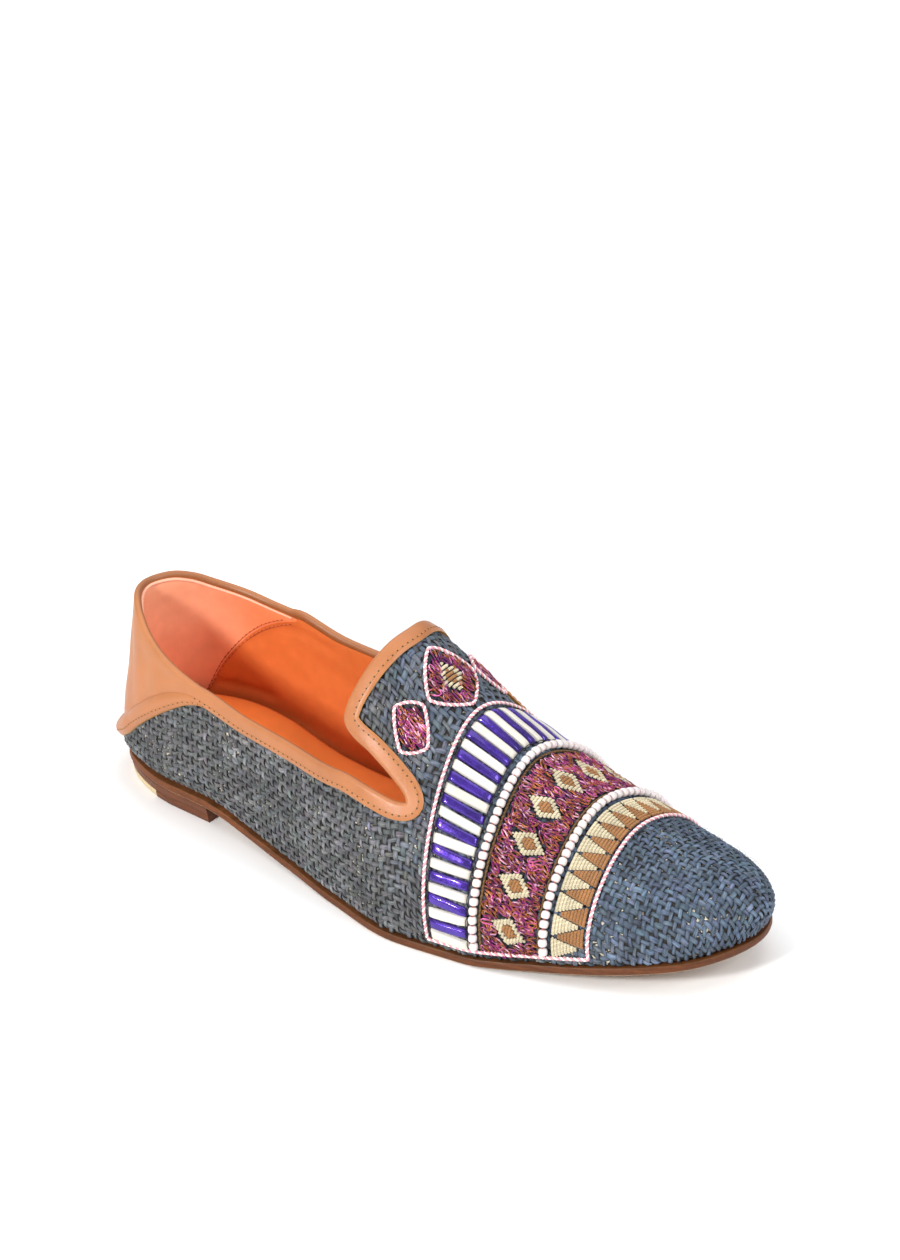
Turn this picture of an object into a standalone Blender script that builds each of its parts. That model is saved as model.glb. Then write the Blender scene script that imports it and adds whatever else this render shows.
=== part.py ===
"""A right slip-on moccasin: woven upper, folding leather back, bound collar, beaded vamp and low heel.

Sizes are in millimetres and are turned into metres when a mesh is written.
x runs from the back of the last to the toe, y to the inner side of the foot and z up from the floor.
A place on the last is (x, t, side): t runs from the sole's edge, 0, up to the ridge of the foot, 1,
and side is -1 on the outer (lateral) half and +1 on the inner (medial) half.
"""

import math

import bpy
import numpy as np

MM = 0.001

# Driving sizes
LAST_LENGTH = 258.0
WALL = 1.8
GAP = 0.3
LEATHER = 1.0
SOLE_THICK = 3.0
SOLE_EDGE = 1.0
HEEL_SOLE_EDGE = 1.3
HEEL_BREAST_X = 52.0
TOP_PIECE_THICK = 2.7
BINDING_WIDTH = 4.5
HEEL_BAND_WIDTH = 7.0
BEAD_RADIUS = 1.5
BEAD_PITCH = 3.1

# The middle of the shoe's box on the floor, which is the origin of the finished part.
CENTRE_X = 126.87
CENTRE_Y = -0.4

# How finely the last is divided: sections at the heel and ahead of the slit, rows below the collar,
# points on each span of the collar's edge, rows of a folded strip, and points along the sole.
HEEL_STATIONS = 14
TOE_STATIONS = 16
LOWER_ROWS = 6
EDGE_POINTS = 2
BINDING_ROWS = 3
PANEL_ROWS = 8
ROLL_ROWS = 3
SOLE_STATIONS = 42

# The last, one row for each section.
SECTION_COLUMNS = ("x", "half_width", "middle_y", "ridge_z", "ridge_y", "lean_deg", "wall", "crown")
SECTIONS = (
    (0.0, 0.0, 0.0, 84.0, 0.0, 12.0, 0.55, 0.60),
    (12.0, 19.5, 0.6, 86.0, 0.0, 12.0, 0.55, 0.60),
    (35.0, 26.5, 0.7, 90.0, 0.0, 11.0, 0.55, 0.60),
    (65.0, 27.5, -0.7, 93.0, 0.0, 9.0, 0.55, 0.60),
    (95.0, 31.5, -3.0, 94.0, 0.0, 8.0, 0.55, 0.57),
    (120.0, 37.0, -4.4, 92.0, 0.0, 9.0, 0.53, 0.53),
    (150.0, 44.0, -3.2, 69.0, 1.0, 9.0, 0.51, 0.51),
    (175.0, 44.0, -0.4, 53.0, 2.5, 9.0, 0.52, 0.52),
    (200.0, 40.2, 1.9, 41.5, 3.5, 9.0, 0.55, 0.55),
    (225.0, 33.4, 3.6, 37.0, 3.0, 9.0, 0.57, 0.57),
    (245.0, 23.3, 5.4, 33.5, 2.0, 8.0, 0.57, 0.57),
    (LAST_LENGTH, 0.0, 8.5, 14.0, 0.0, 0.0, 0.57, 0.57),
)

# The underside of the outsole: level under the heel and the ball, with an arch and a toe spring.
SOLE_COLUMNS = ("x", "bottom_z")
SOLE_PROFILE = (
    (-5.0, 6.7),
    (50.0, 6.7),
    (75.0, 3.2),
    (100.0, 1.0),
    (122.0, 0.1),
    (146.0, 0.0),
    (174.0, 0.0),
    (187.0, 1.3),
    (200.0, 3.2),
    (215.0, 5.4),
    (235.0, 8.5),
    (250.0, 10.5),
    (262.0, 12.0),
)

# How far the back of the heel stands forward of the last's plumb line at each height.
HEEL_COLUMNS = ("z", "forward")
HEEL_PROFILE = (
    (9.0, 4.6),
    (11.0, 1.2),
    (14.0, -1.3),
    (18.0, -0.7),
    (22.0, 1.2),
    (28.0, 2.5),
    (34.0, 3.6),
    (50.0, 6.2),
    (64.0, 6.2),
    (80.0, 3.6),
)
HEEL_REACH = 60.0

# How far the sides of the heel bulge, at each height above the sole's edge line.
TUCK_COLUMNS = ("above", "bulge")
TUCK_PROFILE = (
    (0.0, -1.8),
    (2.5, -0.3),
    (6.0, 0.8),
    (11.0, 0.8),
    (20.0, 0.0),
)
TUCK_FADE = (45.0, 85.0)

# How far the toe stands forward of the last's plumb line, at each height above the sole's edge line.
TOE_COLUMNS = ("above", "forward")
TOE_PROFILE = (
    (0.0, -2.0),
    (4.0, 0.4),
    (8.0, 2.3),
    (14.0, 2.4),
    (22.0, 0.9),
    (30.0, 0.0),
)
TOE_REACH = 45.0

# How thick the padded footbed is along the shoe, and how much wider its top is at the heel.
INSOLE_COLUMNS = ("x", "thick")
INSOLE_PROFILE = (
    (0.0, 9.8),
    (15.0, 9.8),
    (38.0, 8.8),
    (50.0, 7.3),
    (60.0, 5.7),
    (75.0, 4.2),
    (95.0, 3.0),
    (125.0, 2.0),
    (258.0, 2.0),
)
INSOLE_SPREAD = 2.0

# The collar's edge along the quarters, then the end of the slit and the edge of the tongue.
TOPLINE_COLUMNS = ("x", "lateral_t", "medial_t")
TOPLINE = (
    (0.0, 0.600, 0.600),
    (4.0, 0.591, 0.593),
    (10.0, 0.555, 0.562),
    (18.0, 0.494, 0.516),
    (30.0, 0.428, 0.468),
    (42.0, 0.378, 0.432),
    (54.0, 0.347, 0.413),
    (70.0, 0.334, 0.393),
    (90.0, 0.336, 0.378),
    (110.0, 0.349, 0.373),
    (128.0, 0.378, 0.382),
    (140.0, 0.418, 0.419),
    (145.8, 0.448, 0.448),
)
SLIT_END = (148.2, 0.476)
TONGUE_COLUMNS = ("x", "t")
TONGUE_SIDE = ((145.8, 0.504), (140.0, 0.512), (132.0, 0.508), (124.5, 0.503))
TONGUE_CORNER = (119.8, 0.525)
TONGUE_BACK = ((119.2, 0.580), (120.8, 0.680), (123.4, 0.835), (125.2, 1.0))

# The seam between the woven quarter and the smooth back, as the lower edge of the heel band.
HEEL_SEAM_COLUMNS = ("x", "lateral_t", "medial_t")
HEEL_SEAM = (
    (0.0, 0.020, 0.020),
    (5.0, 0.032, 0.033),
    (12.0, 0.082, 0.086),
    (20.0, 0.150, 0.160),
    (30.0, 0.216, 0.238),
    (40.0, 0.268, 0.304),
    (46.0, 0.292, 0.341),
    (51.5, 0.303, 0.360),
)
HEEL_BAND_END_WIDTH = 3.0
HEEL_BAND_CROWN = 1.8
HEEL_PANEL_TIP_X = 51.5
BINDING_START_X = 53.2

# The beadwork on the vamp: each band is an arch over the ridge, from one x on the ridge to another.
ARCH_SLOPE = 0.17
ARCH_ROUND = 12.0
SOLE_MARGIN = 3.0
STRIP_LANE = (152.5, 168.0)
CHAIN_BAND = (173.0, 193.0)
TOOTH_BAND = (198.0, 209.0)
BEAD_ROWS = (("bead_row_back", 170.5), ("bead_row_front", 195.5))
STRIPS_PER_SIDE = 10
STRIP_BASE = 0.5
STRIP_RAISED = 1.5
CHAIN_THICK = 0.8
TOOTH_THICK = 0.9
LOZENGE_COLUMNS = ("name", "middle_x", "middle_q", "half_x", "half_q")
LOZENGES = (
    ("tongue_medallion", 140.5, 0.0, 8.0, 12.0),
    ("tongue_lozenge_lateral", 140.0, -24.0, 6.0, 8.0),
    ("tongue_lozenge_medial", 140.0, 24.0, 6.0, 8.0),
)

# Materials: base colour, roughness and metallic value.
MATERIALS = {
    "woven_fibre": ((0.085, 0.115, 0.155), 0.75, 0.0),
    "tan_leather": ((0.60, 0.30, 0.13), 0.45, 0.0),
    "orange_leather": ((0.72, 0.16, 0.035), 0.5, 0.0),
    "sole_leather": ((0.20, 0.075, 0.033), 0.5, 0.0),
    "pale_leather": ((0.62, 0.48, 0.28), 0.6, 0.0),
    "metallic_thread": ((0.30, 0.035, 0.20), 0.35, 0.4),
    "strip_leather": ((0.075, 0.03, 0.36), 0.3, 0.2),
    "wool_thread": ((0.60, 0.42, 0.22), 0.85, 0.0),
    "white_bead": ((0.86, 0.80, 0.79), 0.25, 0.0),
}


def monotone(rows, column=1):
    """A smooth curve through one column of a table, which never overshoots its rows."""
    xs = np.array([row[0] for row in rows], float)
    ys = np.array([row[column] for row in rows], float)
    step = np.diff(xs)
    slope = np.diff(ys) / step
    tangent = np.concatenate([slope[:1], np.zeros(len(xs) - 2), slope[-1:]])
    for i in range(1, len(xs) - 1):
        if slope[i - 1] * slope[i] > 0:
            before = 2 * step[i] + step[i - 1]
            after = step[i] + 2 * step[i - 1]
            tangent[i] = (before + after) / (before / slope[i - 1] + after / slope[i])

    def curve(x):
        x = np.clip(np.asarray(x, float), xs[0], xs[-1])
        i = np.clip(np.searchsorted(xs, x, side="right") - 1, 0, len(xs) - 2)
        f = (x - xs[i]) / step[i]
        start = (1 + 2 * f) * (1 - f) ** 2 * ys[i] + f * (1 - f) ** 2 * step[i] * tangent[i]
        end = f**2 * (3 - 2 * f) * ys[i + 1] + f**2 * (f - 1) * step[i] * tangent[i + 1]
        return start + end

    return curve


def section(name):
    return monotone(SECTIONS, SECTION_COLUMNS.index(name))


SOLE_BOTTOM = monotone(SOLE_PROFILE)
HEEL_FORWARD = monotone(HEEL_PROFILE)
TOE_FORWARD = monotone(TOE_PROFILE)
TUCK = monotone(TUCK_PROFILE)
INSOLE_THICK = monotone(INSOLE_PROFILE)
MIDDLE_Y = section("middle_y")
RIDGE_Y = section("ridge_y")
LEAN = section("lean_deg")
WALL_HANDLE = section("wall")
CROWN_HANDLE = section("crown")


def feather_z(x):
    """The height of the line where the upper meets the sole."""
    return SOLE_BOTTOM(x) + SOLE_THICK + GAP


# Half width and rise are interpolated as squares, so that the toe and the heel close in a round curve.
HALF_SQUARED = monotone([(row[0], row[1] ** 2) for row in SECTIONS])
RISE_SQUARED = monotone([(row[0], max(row[3] - float(feather_z(row[0])), 0.0) ** 2) for row in SECTIONS])


def faded(x, span):
    """From 1 before a span of x to 0 after it, smoothly."""
    f = np.clip((x - span[0]) / (span[1] - span[0]), 0.0, 1.0)
    return 1 - f**2 * (3 - 2 * f)


def last_point(x, t, side):
    """The last's surface: each half section is one Bezier arc from the sole's edge to the ridge."""
    x, t = np.broadcast_arrays(np.asarray(x, float), np.asarray(t, float))
    half = np.sqrt(np.maximum(HALF_SQUARED(x), 0.0))
    rise = np.sqrt(np.maximum(RISE_SQUARED(x), 0.0))
    wall = WALL_HANDLE(x) * rise
    fullness = np.minimum(half / 20.0, 1.0)
    ridge = side * RIDGE_Y(x) * fullness
    bulge = wall * np.tan(np.radians(LEAN(x))) * fullness
    across = (half, half + bulge, ridge + CROWN_HANDLE(x) * half, ridge)
    up = (0.0, wall, rise, rise)
    weights = ((1 - t) ** 3, 3 * t * (1 - t) ** 2, 3 * t**2 * (1 - t), t**3)
    above = sum(w * u for w, u in zip(weights, up))
    tuck = TUCK(above) * faded(x, TUCK_FADE) * fullness
    y = MIDDLE_Y(x) + side * (sum(w * a for w, a in zip(weights, across)) + tuck)
    z = feather_z(x) + above
    heel = HEEL_FORWARD(z) * np.clip(1 - x / HEEL_REACH, 0.0, 1.0) ** 2
    toe = TOE_FORWARD(above) * np.clip((x - LAST_LENGTH) / TOE_REACH + 1, 0.0, 1.0) ** 2
    return np.stack([x + heel + toe, y, z], axis=-1)


def x_at(u):
    """Stations crowd towards both ends: u from 0 to 1 gives x from heel to toe."""
    return LAST_LENGTH * (1 - np.cos(math.pi * np.clip(u, 0, 1))) / 2


def u_at(x):
    return np.arccos(1 - 2 * np.clip(np.asarray(x, float) / LAST_LENGTH, 0, 1)) / math.pi


def last_normal(x, t, side):
    """The outward unit normal of the last."""
    step = 1e-3
    u = np.clip(u_at(x), 0, 1 - 2 * step)
    t = np.asarray(t, float)
    along = last_point(x_at(u + step), t, side) - last_point(x_at(np.maximum(u - step, 0)), t, side)
    x = x_at(u)
    up = last_point(x, np.minimum(t + step, 1), side) - last_point(x, np.maximum(t - step, 0), side)
    normal = -side * np.cross(along, up)
    return normal / np.linalg.norm(normal, axis=-1, keepdims=True)


def grid_faces(columns, rows, first=0):
    """The quads of a grid whose points are stored column by column."""
    corner = np.arange(columns - 1)[:, None] * rows + np.arange(rows - 1)[None] + first
    corner = corner.ravel()
    return np.stack([corner, corner + rows, corner + rows + 1, corner + 1], axis=1)


def welded(points, normals, faces):
    """Points that fall together made one, with the mean of their normals, and faces without repeats."""
    _, first, index = np.unique(np.round(points, 4), axis=0, return_index=True, return_inverse=True)
    index = index.reshape(-1)
    summed = np.zeros((len(first), 3))
    np.add.at(summed, index, normals)
    summed /= np.linalg.norm(summed, axis=1, keepdims=True)
    kept = []
    for face in faces:
        corners = list(dict.fromkeys(index[list(face)]))
        if len(corners) > 2:
            kept.append(corners)
    return points[first], summed, kept


def facing_out(points, normals, faces):
    """Faces turned so that each agrees with the normals at its corners."""
    turned = []
    for face in faces:
        a, b, c = points[face[0]], points[face[1]], points[face[2]]
        agrees = np.dot(np.cross(b - a, c - b), normals[face].sum(axis=0)) > 0
        turned.append(list(face) if agrees else list(face)[::-1])
    return turned


def thickened(points, normals, faces, outer, inner):
    """A closed solid between two offsets of a sheet. An offset is one height, or one for each point."""
    outer = np.broadcast_to(outer, len(points))[:, None]
    inner = np.broadcast_to(inner, len(points))[:, None]
    solid = np.vstack([points + outer * normals, points + inner * normals])
    count = len(points)
    edges = {(f[i], f[(i + 1) % len(f)]) for f in faces for i in range(len(f))}
    rim = [(b, a, a + count, b + count) for a, b in sorted(edges) if (b, a) not in edges]
    backs = [[i + count for i in face[::-1]] for face in faces]
    return solid, [*faces, *backs, *rim]


def sheet_normals(points, faces):
    """Area weighted normals of a sheet, from its own faces."""
    normals = np.zeros_like(points)
    for face in faces:
        a, b, c, d = points[face]
        for i in face:
            normals[i] += np.cross(c - a, d - b)
    return normals / np.linalg.norm(normals, axis=1, keepdims=True)


def add_object(name, points, faces, material, sharp_deg=35.0):
    """One named piece in the shoe's frame, parented to the shoe's empty."""
    mesh = bpy.data.meshes.new(name)
    placed = (np.asarray(points) - (CENTRE_X, CENTRE_Y, 0.0)) * MM
    mesh.from_pydata(placed.tolist(), [], [list(map(int, face)) for face in faces])
    mesh.shade_smooth()
    mesh.set_sharp_from_angle(angle=math.radians(sharp_deg))
    mesh.materials.append(bpy.data.materials[material])
    obj = bpy.data.objects.new(name, mesh)
    bpy.context.scene.collection.objects.link(obj)
    obj.parent = bpy.data.objects["moccasin"]
    return obj


def through(rows, per_span, beyond):
    """Points along a smooth curve through the rows, with each row on it. The end heads for a point beyond."""
    rows = np.asarray(rows, float)
    padded = np.vstack([2 * rows[0] - rows[1], rows, beyond])
    points = []
    for before, start, end, after in zip(padded, padded[1:], padded[2:], padded[3:]):
        for f in np.arange(per_span) / per_span:
            pull = (2 * before - 5 * start + 4 * end - after) * f**2
            twist = (3 * start - before - 3 * end + after) * f**3
            points.append(0.5 * (2 * start + (end - before) * f + pull + twist))
    return np.array([*points, rows[-1]])


def topline(side):
    return monotone(TOPLINE, 1 if side < 0 else 2)


def collar_edge(side):
    """The collar's edge on one side: from the end of the heel panel, round the slit, to the tongue's top."""
    start = BINDING_START_X
    xs = np.array([start, *(row[0] for row in TOPLINE if row[0] > start + 1.0)])
    rows = list(zip(xs, topline(side)(xs)))
    rows += [SLIT_END, *TONGUE_SIDE, TONGUE_CORNER, *TONGUE_BACK]
    mirrored = (TONGUE_BACK[-2][0], 2.0 - TONGUE_BACK[-2][1])
    return through(rows, EDGE_POINTS, mirrored)


def collar_parts(side):
    """The collar's edge parted into the quarter, the tongue's side and the tongue's back."""
    edge = collar_edge(side)
    back_count = EDGE_POINTS * len(TONGUE_BACK)
    side_count = EDGE_POINTS * (len(TONGUE_SIDE) + 1)
    slit = len(edge) - 1 - back_count - side_count
    return edge[: slit + 1], edge[slit : slit + side_count + 1], edge[-back_count - 1 :]


def heel_stations():
    return x_at(np.linspace(0, float(u_at(HEEL_PANEL_TIP_X)), HEEL_STATIONS))


def toe_stations():
    return x_at(np.linspace(float(u_at(SLIT_END[0])), 1, TOE_STATIONS))


def lower_patch(side):
    """From the sole's edge up to the collar, and ahead of the slit up to a line at the slit's height."""
    heel = heel_stations()
    quarter, _, _ = collar_parts(side)
    toe = toe_stations()[1:]
    xs = np.concatenate([heel, quarter[:, 0], toe])
    tops = np.concatenate([topline(side)(heel), quarter[:, 1], np.full(len(toe), SLIT_END[1])])
    f = np.linspace(0, 1, LOWER_ROWS + 1) ** 1.4
    return np.repeat(xs[:, None], len(f), 1), tops[:, None] * f[None]


def upper_patch():
    """The tongue and the top of the vamp, blended in from its four edges."""
    _, tongue_side, back = collar_parts(-1)
    toe_x = toe_stations()[1:]
    bottom = np.vstack([tongue_side[::-1], np.stack([toe_x, np.full(len(toe_x), SLIT_END[1])], axis=1)])
    count = len(bottom)
    s = np.linspace(0, 1, count)[:, None, None]
    v = np.linspace(0, 1, len(back))
    share = (bottom[:, 0] - bottom[0, 0]) / (LAST_LENGTH - bottom[0, 0])
    top = np.stack([back[-1, 0] + share * (LAST_LENGTH - back[-1, 0]), np.ones(count)], axis=1)
    toe = bottom[-1] + v[:, None] * (top[-1] - bottom[-1])
    v = v[None, :, None]
    blend = (1 - v) * bottom[:, None] + v * top[:, None] + (1 - s) * back[None] + s * toe[None]
    corners = (1 - v) * ((1 - s) * bottom[0] + s * bottom[-1]) + v * ((1 - s) * top[0] + s * top[-1])
    place = blend - corners
    return place[..., 0], np.minimum(place[..., 1], 1.0)


def skin(patches):
    """Patches on the last, each (x, t, side), joined into one sheet of points, normals and faces."""
    points, normals, faces, first = [], [], [], 0
    for x, t, side in patches:
        points.append(last_point(x, t, side).reshape(-1, 3))
        normals.append(last_normal(x, t, side).reshape(-1, 3))
        faces.append(grid_faces(*x.shape, first))
        first += x.size
    joined = welded(np.vstack(points), np.vstack(normals), np.vstack(faces))
    return joined[0], joined[1], facing_out(*joined)


def build_upper():
    """One hollow wall with the last's shape, open at the collar and underneath."""
    x, t = upper_patch()
    patches = [(*lower_patch(side), side) for side in (-1, 1)] + [(x, t, side) for side in (-1, 1)]
    add_object("upper", *thickened(*skin(patches), 0.0, -WALL), "woven_fibre")


def walked(x, t, side, direction, distance, steps=6):
    """The places reached from (x, t) by walking that far over the last in a tangent direction."""
    x, t = np.array(x, float), np.array(t, float)
    small_x, small_t = 0.05, 0.002
    for _ in range(steps):
        here = last_point(x, t, side)
        by_x = (last_point(x + small_x, t, side) - here) / small_x
        by_t = (here - last_point(x, t - small_t, side)) / small_t
        for i in range(len(x)):
            basis = np.stack([by_x[i], by_t[i]], axis=1)
            move = np.linalg.lstsq(basis, direction[i] * distance / steps, rcond=None)[0]
            x[i] = max(x[i] + move[0], 0.0)
            t[i] = min(t[i] + move[1], 1.0)
    return x, t


def edge_frame(x, t, side):
    """At each place on an edge: the point, the normal, and the way out of the material."""
    point = last_point(x, t, side)
    normal = last_normal(x, t, side)
    along = np.gradient(point, axis=0)
    along[-1] = (0.0, -side, 0.0) if t[-1] > 0.999 else along[-1]
    along /= np.linalg.norm(along, axis=1, keepdims=True)
    out = -side * np.cross(normal, along)
    return point, normal, out / np.linalg.norm(out, axis=1, keepdims=True)


def folded_columns(x, t, side, low_x, low_t, flat_rows):
    """Leather over an edge: rows from the lower edge up to the fold, round it and a little way down."""
    point, normal, out = edge_frame(x, t, side)
    middle = GAP + LEATHER / 2
    rows = []
    for f in np.linspace(0, 1, flat_rows):
        place = (low_x + f * (x - low_x), low_t + f * (t - low_t), side)
        rows.append(last_point(*place) + middle * last_normal(*place))
    fold_reach, inner_flap = 1.1, 1.6
    for angle in np.linspace(0, math.pi, ROLL_ROWS + 1)[1:]:
        across = -WALL / 2 + (WALL / 2 + middle) * math.cos(angle)
        rows.append(point + across * normal + fold_reach * math.sin(angle) * out)
    rows.append(point - (WALL + middle) * normal - inner_flap * out)
    return np.stack(rows, axis=1)


def folded_solid(columns):
    points = columns.reshape(-1, 3)
    faces = grid_faces(*columns.shape[:2])
    normals = sheet_normals(points, faces)
    points, normals, faces = welded(points, normals, faces)
    return thickened(points, normals, faces, LEATHER / 2, -LEATHER / 2)


def build_binding():
    """The strip of leather folded over the collar, from the folding back round the slits and the tongue."""
    halves = []
    for side in (-1, 1):
        x, t = collar_edge(side).T
        _, _, out = edge_frame(x, t, side)
        low_x, low_t = walked(x, t, side, -out, BINDING_WIDTH)
        low_t[-1] = 1.0
        halves.append(folded_columns(x, t, side, low_x, low_t, BINDING_ROWS))
    whole = np.concatenate([halves[0], halves[1][-2::-1]])
    add_object("collar_binding", *folded_solid(whole), "tan_leather")


def heel_band_edges(side):
    """The lower and the upper edge of the band that covers the seam."""
    x = heel_stations()
    t = monotone(HEEL_SEAM, 1 if side < 0 else 2)(x)
    point = last_point(x, t, side)
    along = np.gradient(point, axis=0)
    along[0] = (0.0, side, 0.0)
    along /= np.linalg.norm(along, axis=1, keepdims=True)
    out = -side * np.cross(last_normal(x, t, side), along)
    taper = np.clip((x - 30.0) / (x[-1] - 30.0), 0, 1)[:, None] ** 2
    width = HEEL_BAND_WIDTH + taper * (HEEL_BAND_END_WIDTH - HEEL_BAND_WIDTH)
    high_x, high_t = walked(x, t, side, out * width, 1.0)
    high_x[0] = 0.0
    high_t[0] = high_t[1]
    return (x, t), (high_x, high_t)


def build_heel_band():
    """The padded band of leather over the seam, round the back of the heel."""
    f = np.linspace(0, 1, 5)[None]
    halves = []
    for side in (-1, 1):
        (x, t), (high_x, high_t) = heel_band_edges(side)
        place = (x[:, None] + f * (high_x - x)[:, None], t[:, None] + f * (high_t - t)[:, None], side)
        crown = HEEL_BAND_CROWN * (1 - 0.7 * x / x[-1])[:, None] * np.sin(math.pi * f)
        outer = (GAP + LEATHER + crown)[..., None]
        halves.append(np.concatenate([last_point(*place), last_normal(*place), outer], axis=-1))
    whole = np.concatenate([halves[0][::-1], halves[1][1:]])
    points, normals, outer = np.split(whole.reshape(-1, 7), (3, 6), axis=1)
    faces = facing_out(points, normals, [list(face) for face in grid_faces(*whole.shape[:2])])
    add_object("heel_band", *thickened(points, normals, faces, outer[:, 0], GAP), "tan_leather")


def build_heel_panel():
    """The smooth back, which folds down under the heel: from the band up to its rolled edge."""
    halves = []
    for side in (-1, 1):
        _, (seam_x, seam_t) = heel_band_edges(side)
        edge_x = heel_stations()
        edge_t = topline(side)(edge_x)
        lift = 0.012
        low_t = np.minimum(seam_t + lift, edge_t - 0.02)
        halves.append(folded_columns(edge_x, edge_t, side, seam_x, low_t, PANEL_ROWS))
    whole = np.concatenate([halves[0][::-1], halves[1][1:]])
    add_object("heel_panel", *folded_solid(whole), "tan_leather")


def feather_outline():
    """The sole's edge line seen from above, all the way round, counted from the toe by the lateral side."""
    xs = x_at(np.linspace(0, 1, SOLE_STATIONS))
    lateral = last_point(xs, 0.0, -1)[::-1]
    medial = last_point(xs, 0.0, 1)[1:-1]
    return np.concatenate([lateral, medial])[:, :2]


def grown(outline, distance):
    """An outline moved outwards by a distance, or inwards where it is negative."""
    along = np.roll(outline, -1, axis=0) - np.roll(outline, 1, axis=0)
    along /= np.linalg.norm(along, axis=1, keepdims=True)
    outward = np.stack([-along[:, 1], along[:, 0]], axis=1)
    return outline + distance * outward


def plate(rings):
    """A closed solid from stacked outlines, top first, with the halves of each end joined straight across."""
    count = len(rings[0])
    faces = []
    for k in range(len(rings) - 1):
        top, low = k * count, (k + 1) * count
        faces += [(top + i, top + (i + 1) % count, low + (i + 1) % count, low + i) for i in range(count)]
    half = count // 2
    for first, turn in ((0, 1), ((len(rings) - 1) * count, -1)):
        pairs = [(first + i, first + (count - i) % count) for i in range(half + 1)]
        for (a, b), (c, d) in zip(pairs, pairs[1:]):
            corners = list(dict.fromkeys((a, b, d, c)))
            faces.append(corners[::turn])
    return np.vstack(rings), faces


def sole_outline(extra):
    """The sole's outline, which stands out a little further round the heel, and an extra distance all round."""
    outline = feather_outline()
    return grown(outline, SOLE_EDGE + HEEL_SOLE_EDGE * faded(outline[:, :1], TUCK_FADE) + extra)


def raised(outline, heights):
    return np.column_stack([outline, heights])


def build_outsole():
    """The leather sole: its top follows the upper's edge, and its side is rounded off below."""
    side_steps = ((0.0, SOLE_THICK), (0.3, 0.5 * SOLE_THICK), (-0.5, 0.0))
    heights = SOLE_BOTTOM(feather_outline()[:, 0])
    rings = [raised(sole_outline(out), heights + up) for out, up in side_steps]
    add_object("outsole", *plate(rings), "sole_leather")


def build_insole():
    """The padded footbed inside the upper's wall, thickest under the heel, where it widens with the wall."""
    feather = feather_outline()
    outline = grown(feather, -WALL - 3 * GAP)
    widened = grown(feather, -WALL - 3 * GAP + INSOLE_SPREAD * faded(feather[:, :1], TUCK_FADE))
    floor = feather_z(outline[:, 0])
    rings = [raised(widened, floor + INSOLE_THICK(outline[:, 0])), raised(outline, floor)]
    add_object("insole", *plate(rings), "orange_leather")


def heel_outline(inset, back_x, front_x):
    """The heel's outline between two places along the shoe, set in from the sole's edge."""
    outline = sole_outline(-inset)
    lateral = outline[: len(outline) // 2 + 1]
    medial = np.concatenate([outline[len(outline) // 2 :], outline[:1]])
    xs = back_x + (front_x - back_x) * np.sin(np.linspace(0, math.pi / 2, 9)) ** 2
    xs = np.maximum(xs, lateral[:, 0].min() + 0.02)
    low = np.interp(xs, lateral[::-1, 0], lateral[::-1, 1])
    high = np.interp(xs, medial[:, 0], medial[:, 1])
    return np.concatenate([np.column_stack([xs, low])[::-1], np.column_stack([xs, high])])


def build_heel_piece(name, tops, insets, back_x, front_x, material):
    """A layer of the heel, between two heights, each with its own inset."""
    rings = []
    for z, inset in zip(tops, insets):
        outline = heel_outline(inset, back_x, front_x)
        rings.append(raised(outline, np.full(len(outline), z)))
    points = np.vstack(rings)
    count = len(rings[0])
    faces = [(i, (i + 1) % count, count + (i + 1) % count, count + i) for i in range(count)]
    half = count // 2
    for first, turn in ((0, 1), (count, -1)):
        for i in range(half - 1):
            corners = (first + i, first + count - 1 - i, first + count - 2 - i, first + i + 1)
            faces.append(corners[::turn])
    points, faces = unrepeated(points, faces)
    add_object(name, points, faces, material)


def unrepeated(points, faces):
    """Points that fall together made one."""
    points, _, faces = welded(np.asarray(points), np.ones((len(points), 3)), faces)
    return points, faces


def build_heel():
    """A low heel: one leather lift, then a top piece with a pale tip at the back."""
    stack_top = float(SOLE_BOTTOM(0.0)) - GAP
    split_x = 26.0
    stack = (stack_top, TOP_PIECE_THICK + GAP)
    layer = (TOP_PIECE_THICK, 0.0)
    build_heel_piece("heel_stack", stack, (0.2, 1.2), 0.0, HEEL_BREAST_X, "sole_leather")
    build_heel_piece("heel_lift", layer, (1.0, 1.6), split_x + GAP, HEEL_BREAST_X, "sole_leather")
    build_heel_piece("heel_tip", layer, (1.4, 3.0), 0.0, split_x, "pale_leather")


def girth_places(x, q):
    """Places on the vamp at x, and at the girth q from the ridge: below 0 lateral, above 0 medial."""
    fine = np.linspace(1, 0, 90)
    places = []
    for one_x, one_q in zip(x, q):
        section_points = last_point(one_x, fine, -1 if one_q < 0 else 1)
        lengths = np.linalg.norm(np.diff(section_points, axis=0), axis=1)
        run = np.concatenate([[0.0], np.cumsum(lengths)])
        places.append(np.interp(abs(one_q), run, fine))
    return np.array(places)


def girth_limit(x, side):
    """The girth from the ridge down to the sole's edge."""
    section_points = last_point(x, np.linspace(0, 1, 90), side)
    return float(np.linalg.norm(np.diff(section_points, axis=0), axis=1).sum())


def arch_x(ridge_x, q):
    """An arch over the vamp: x on the ridge, and how far it runs forward down each side."""
    return ridge_x + ARCH_SLOPE * (np.sqrt(np.asarray(q) ** 2 + ARCH_ROUND**2) - ARCH_ROUND)


def arch_reach(ridge_x, side):
    """The girth at which an arch comes down to the margin above the sole."""
    q = 40.0
    for _ in range(30):
        q = girth_limit(float(arch_x(ridge_x, q)), side) - SOLE_MARGIN
    return q


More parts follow.
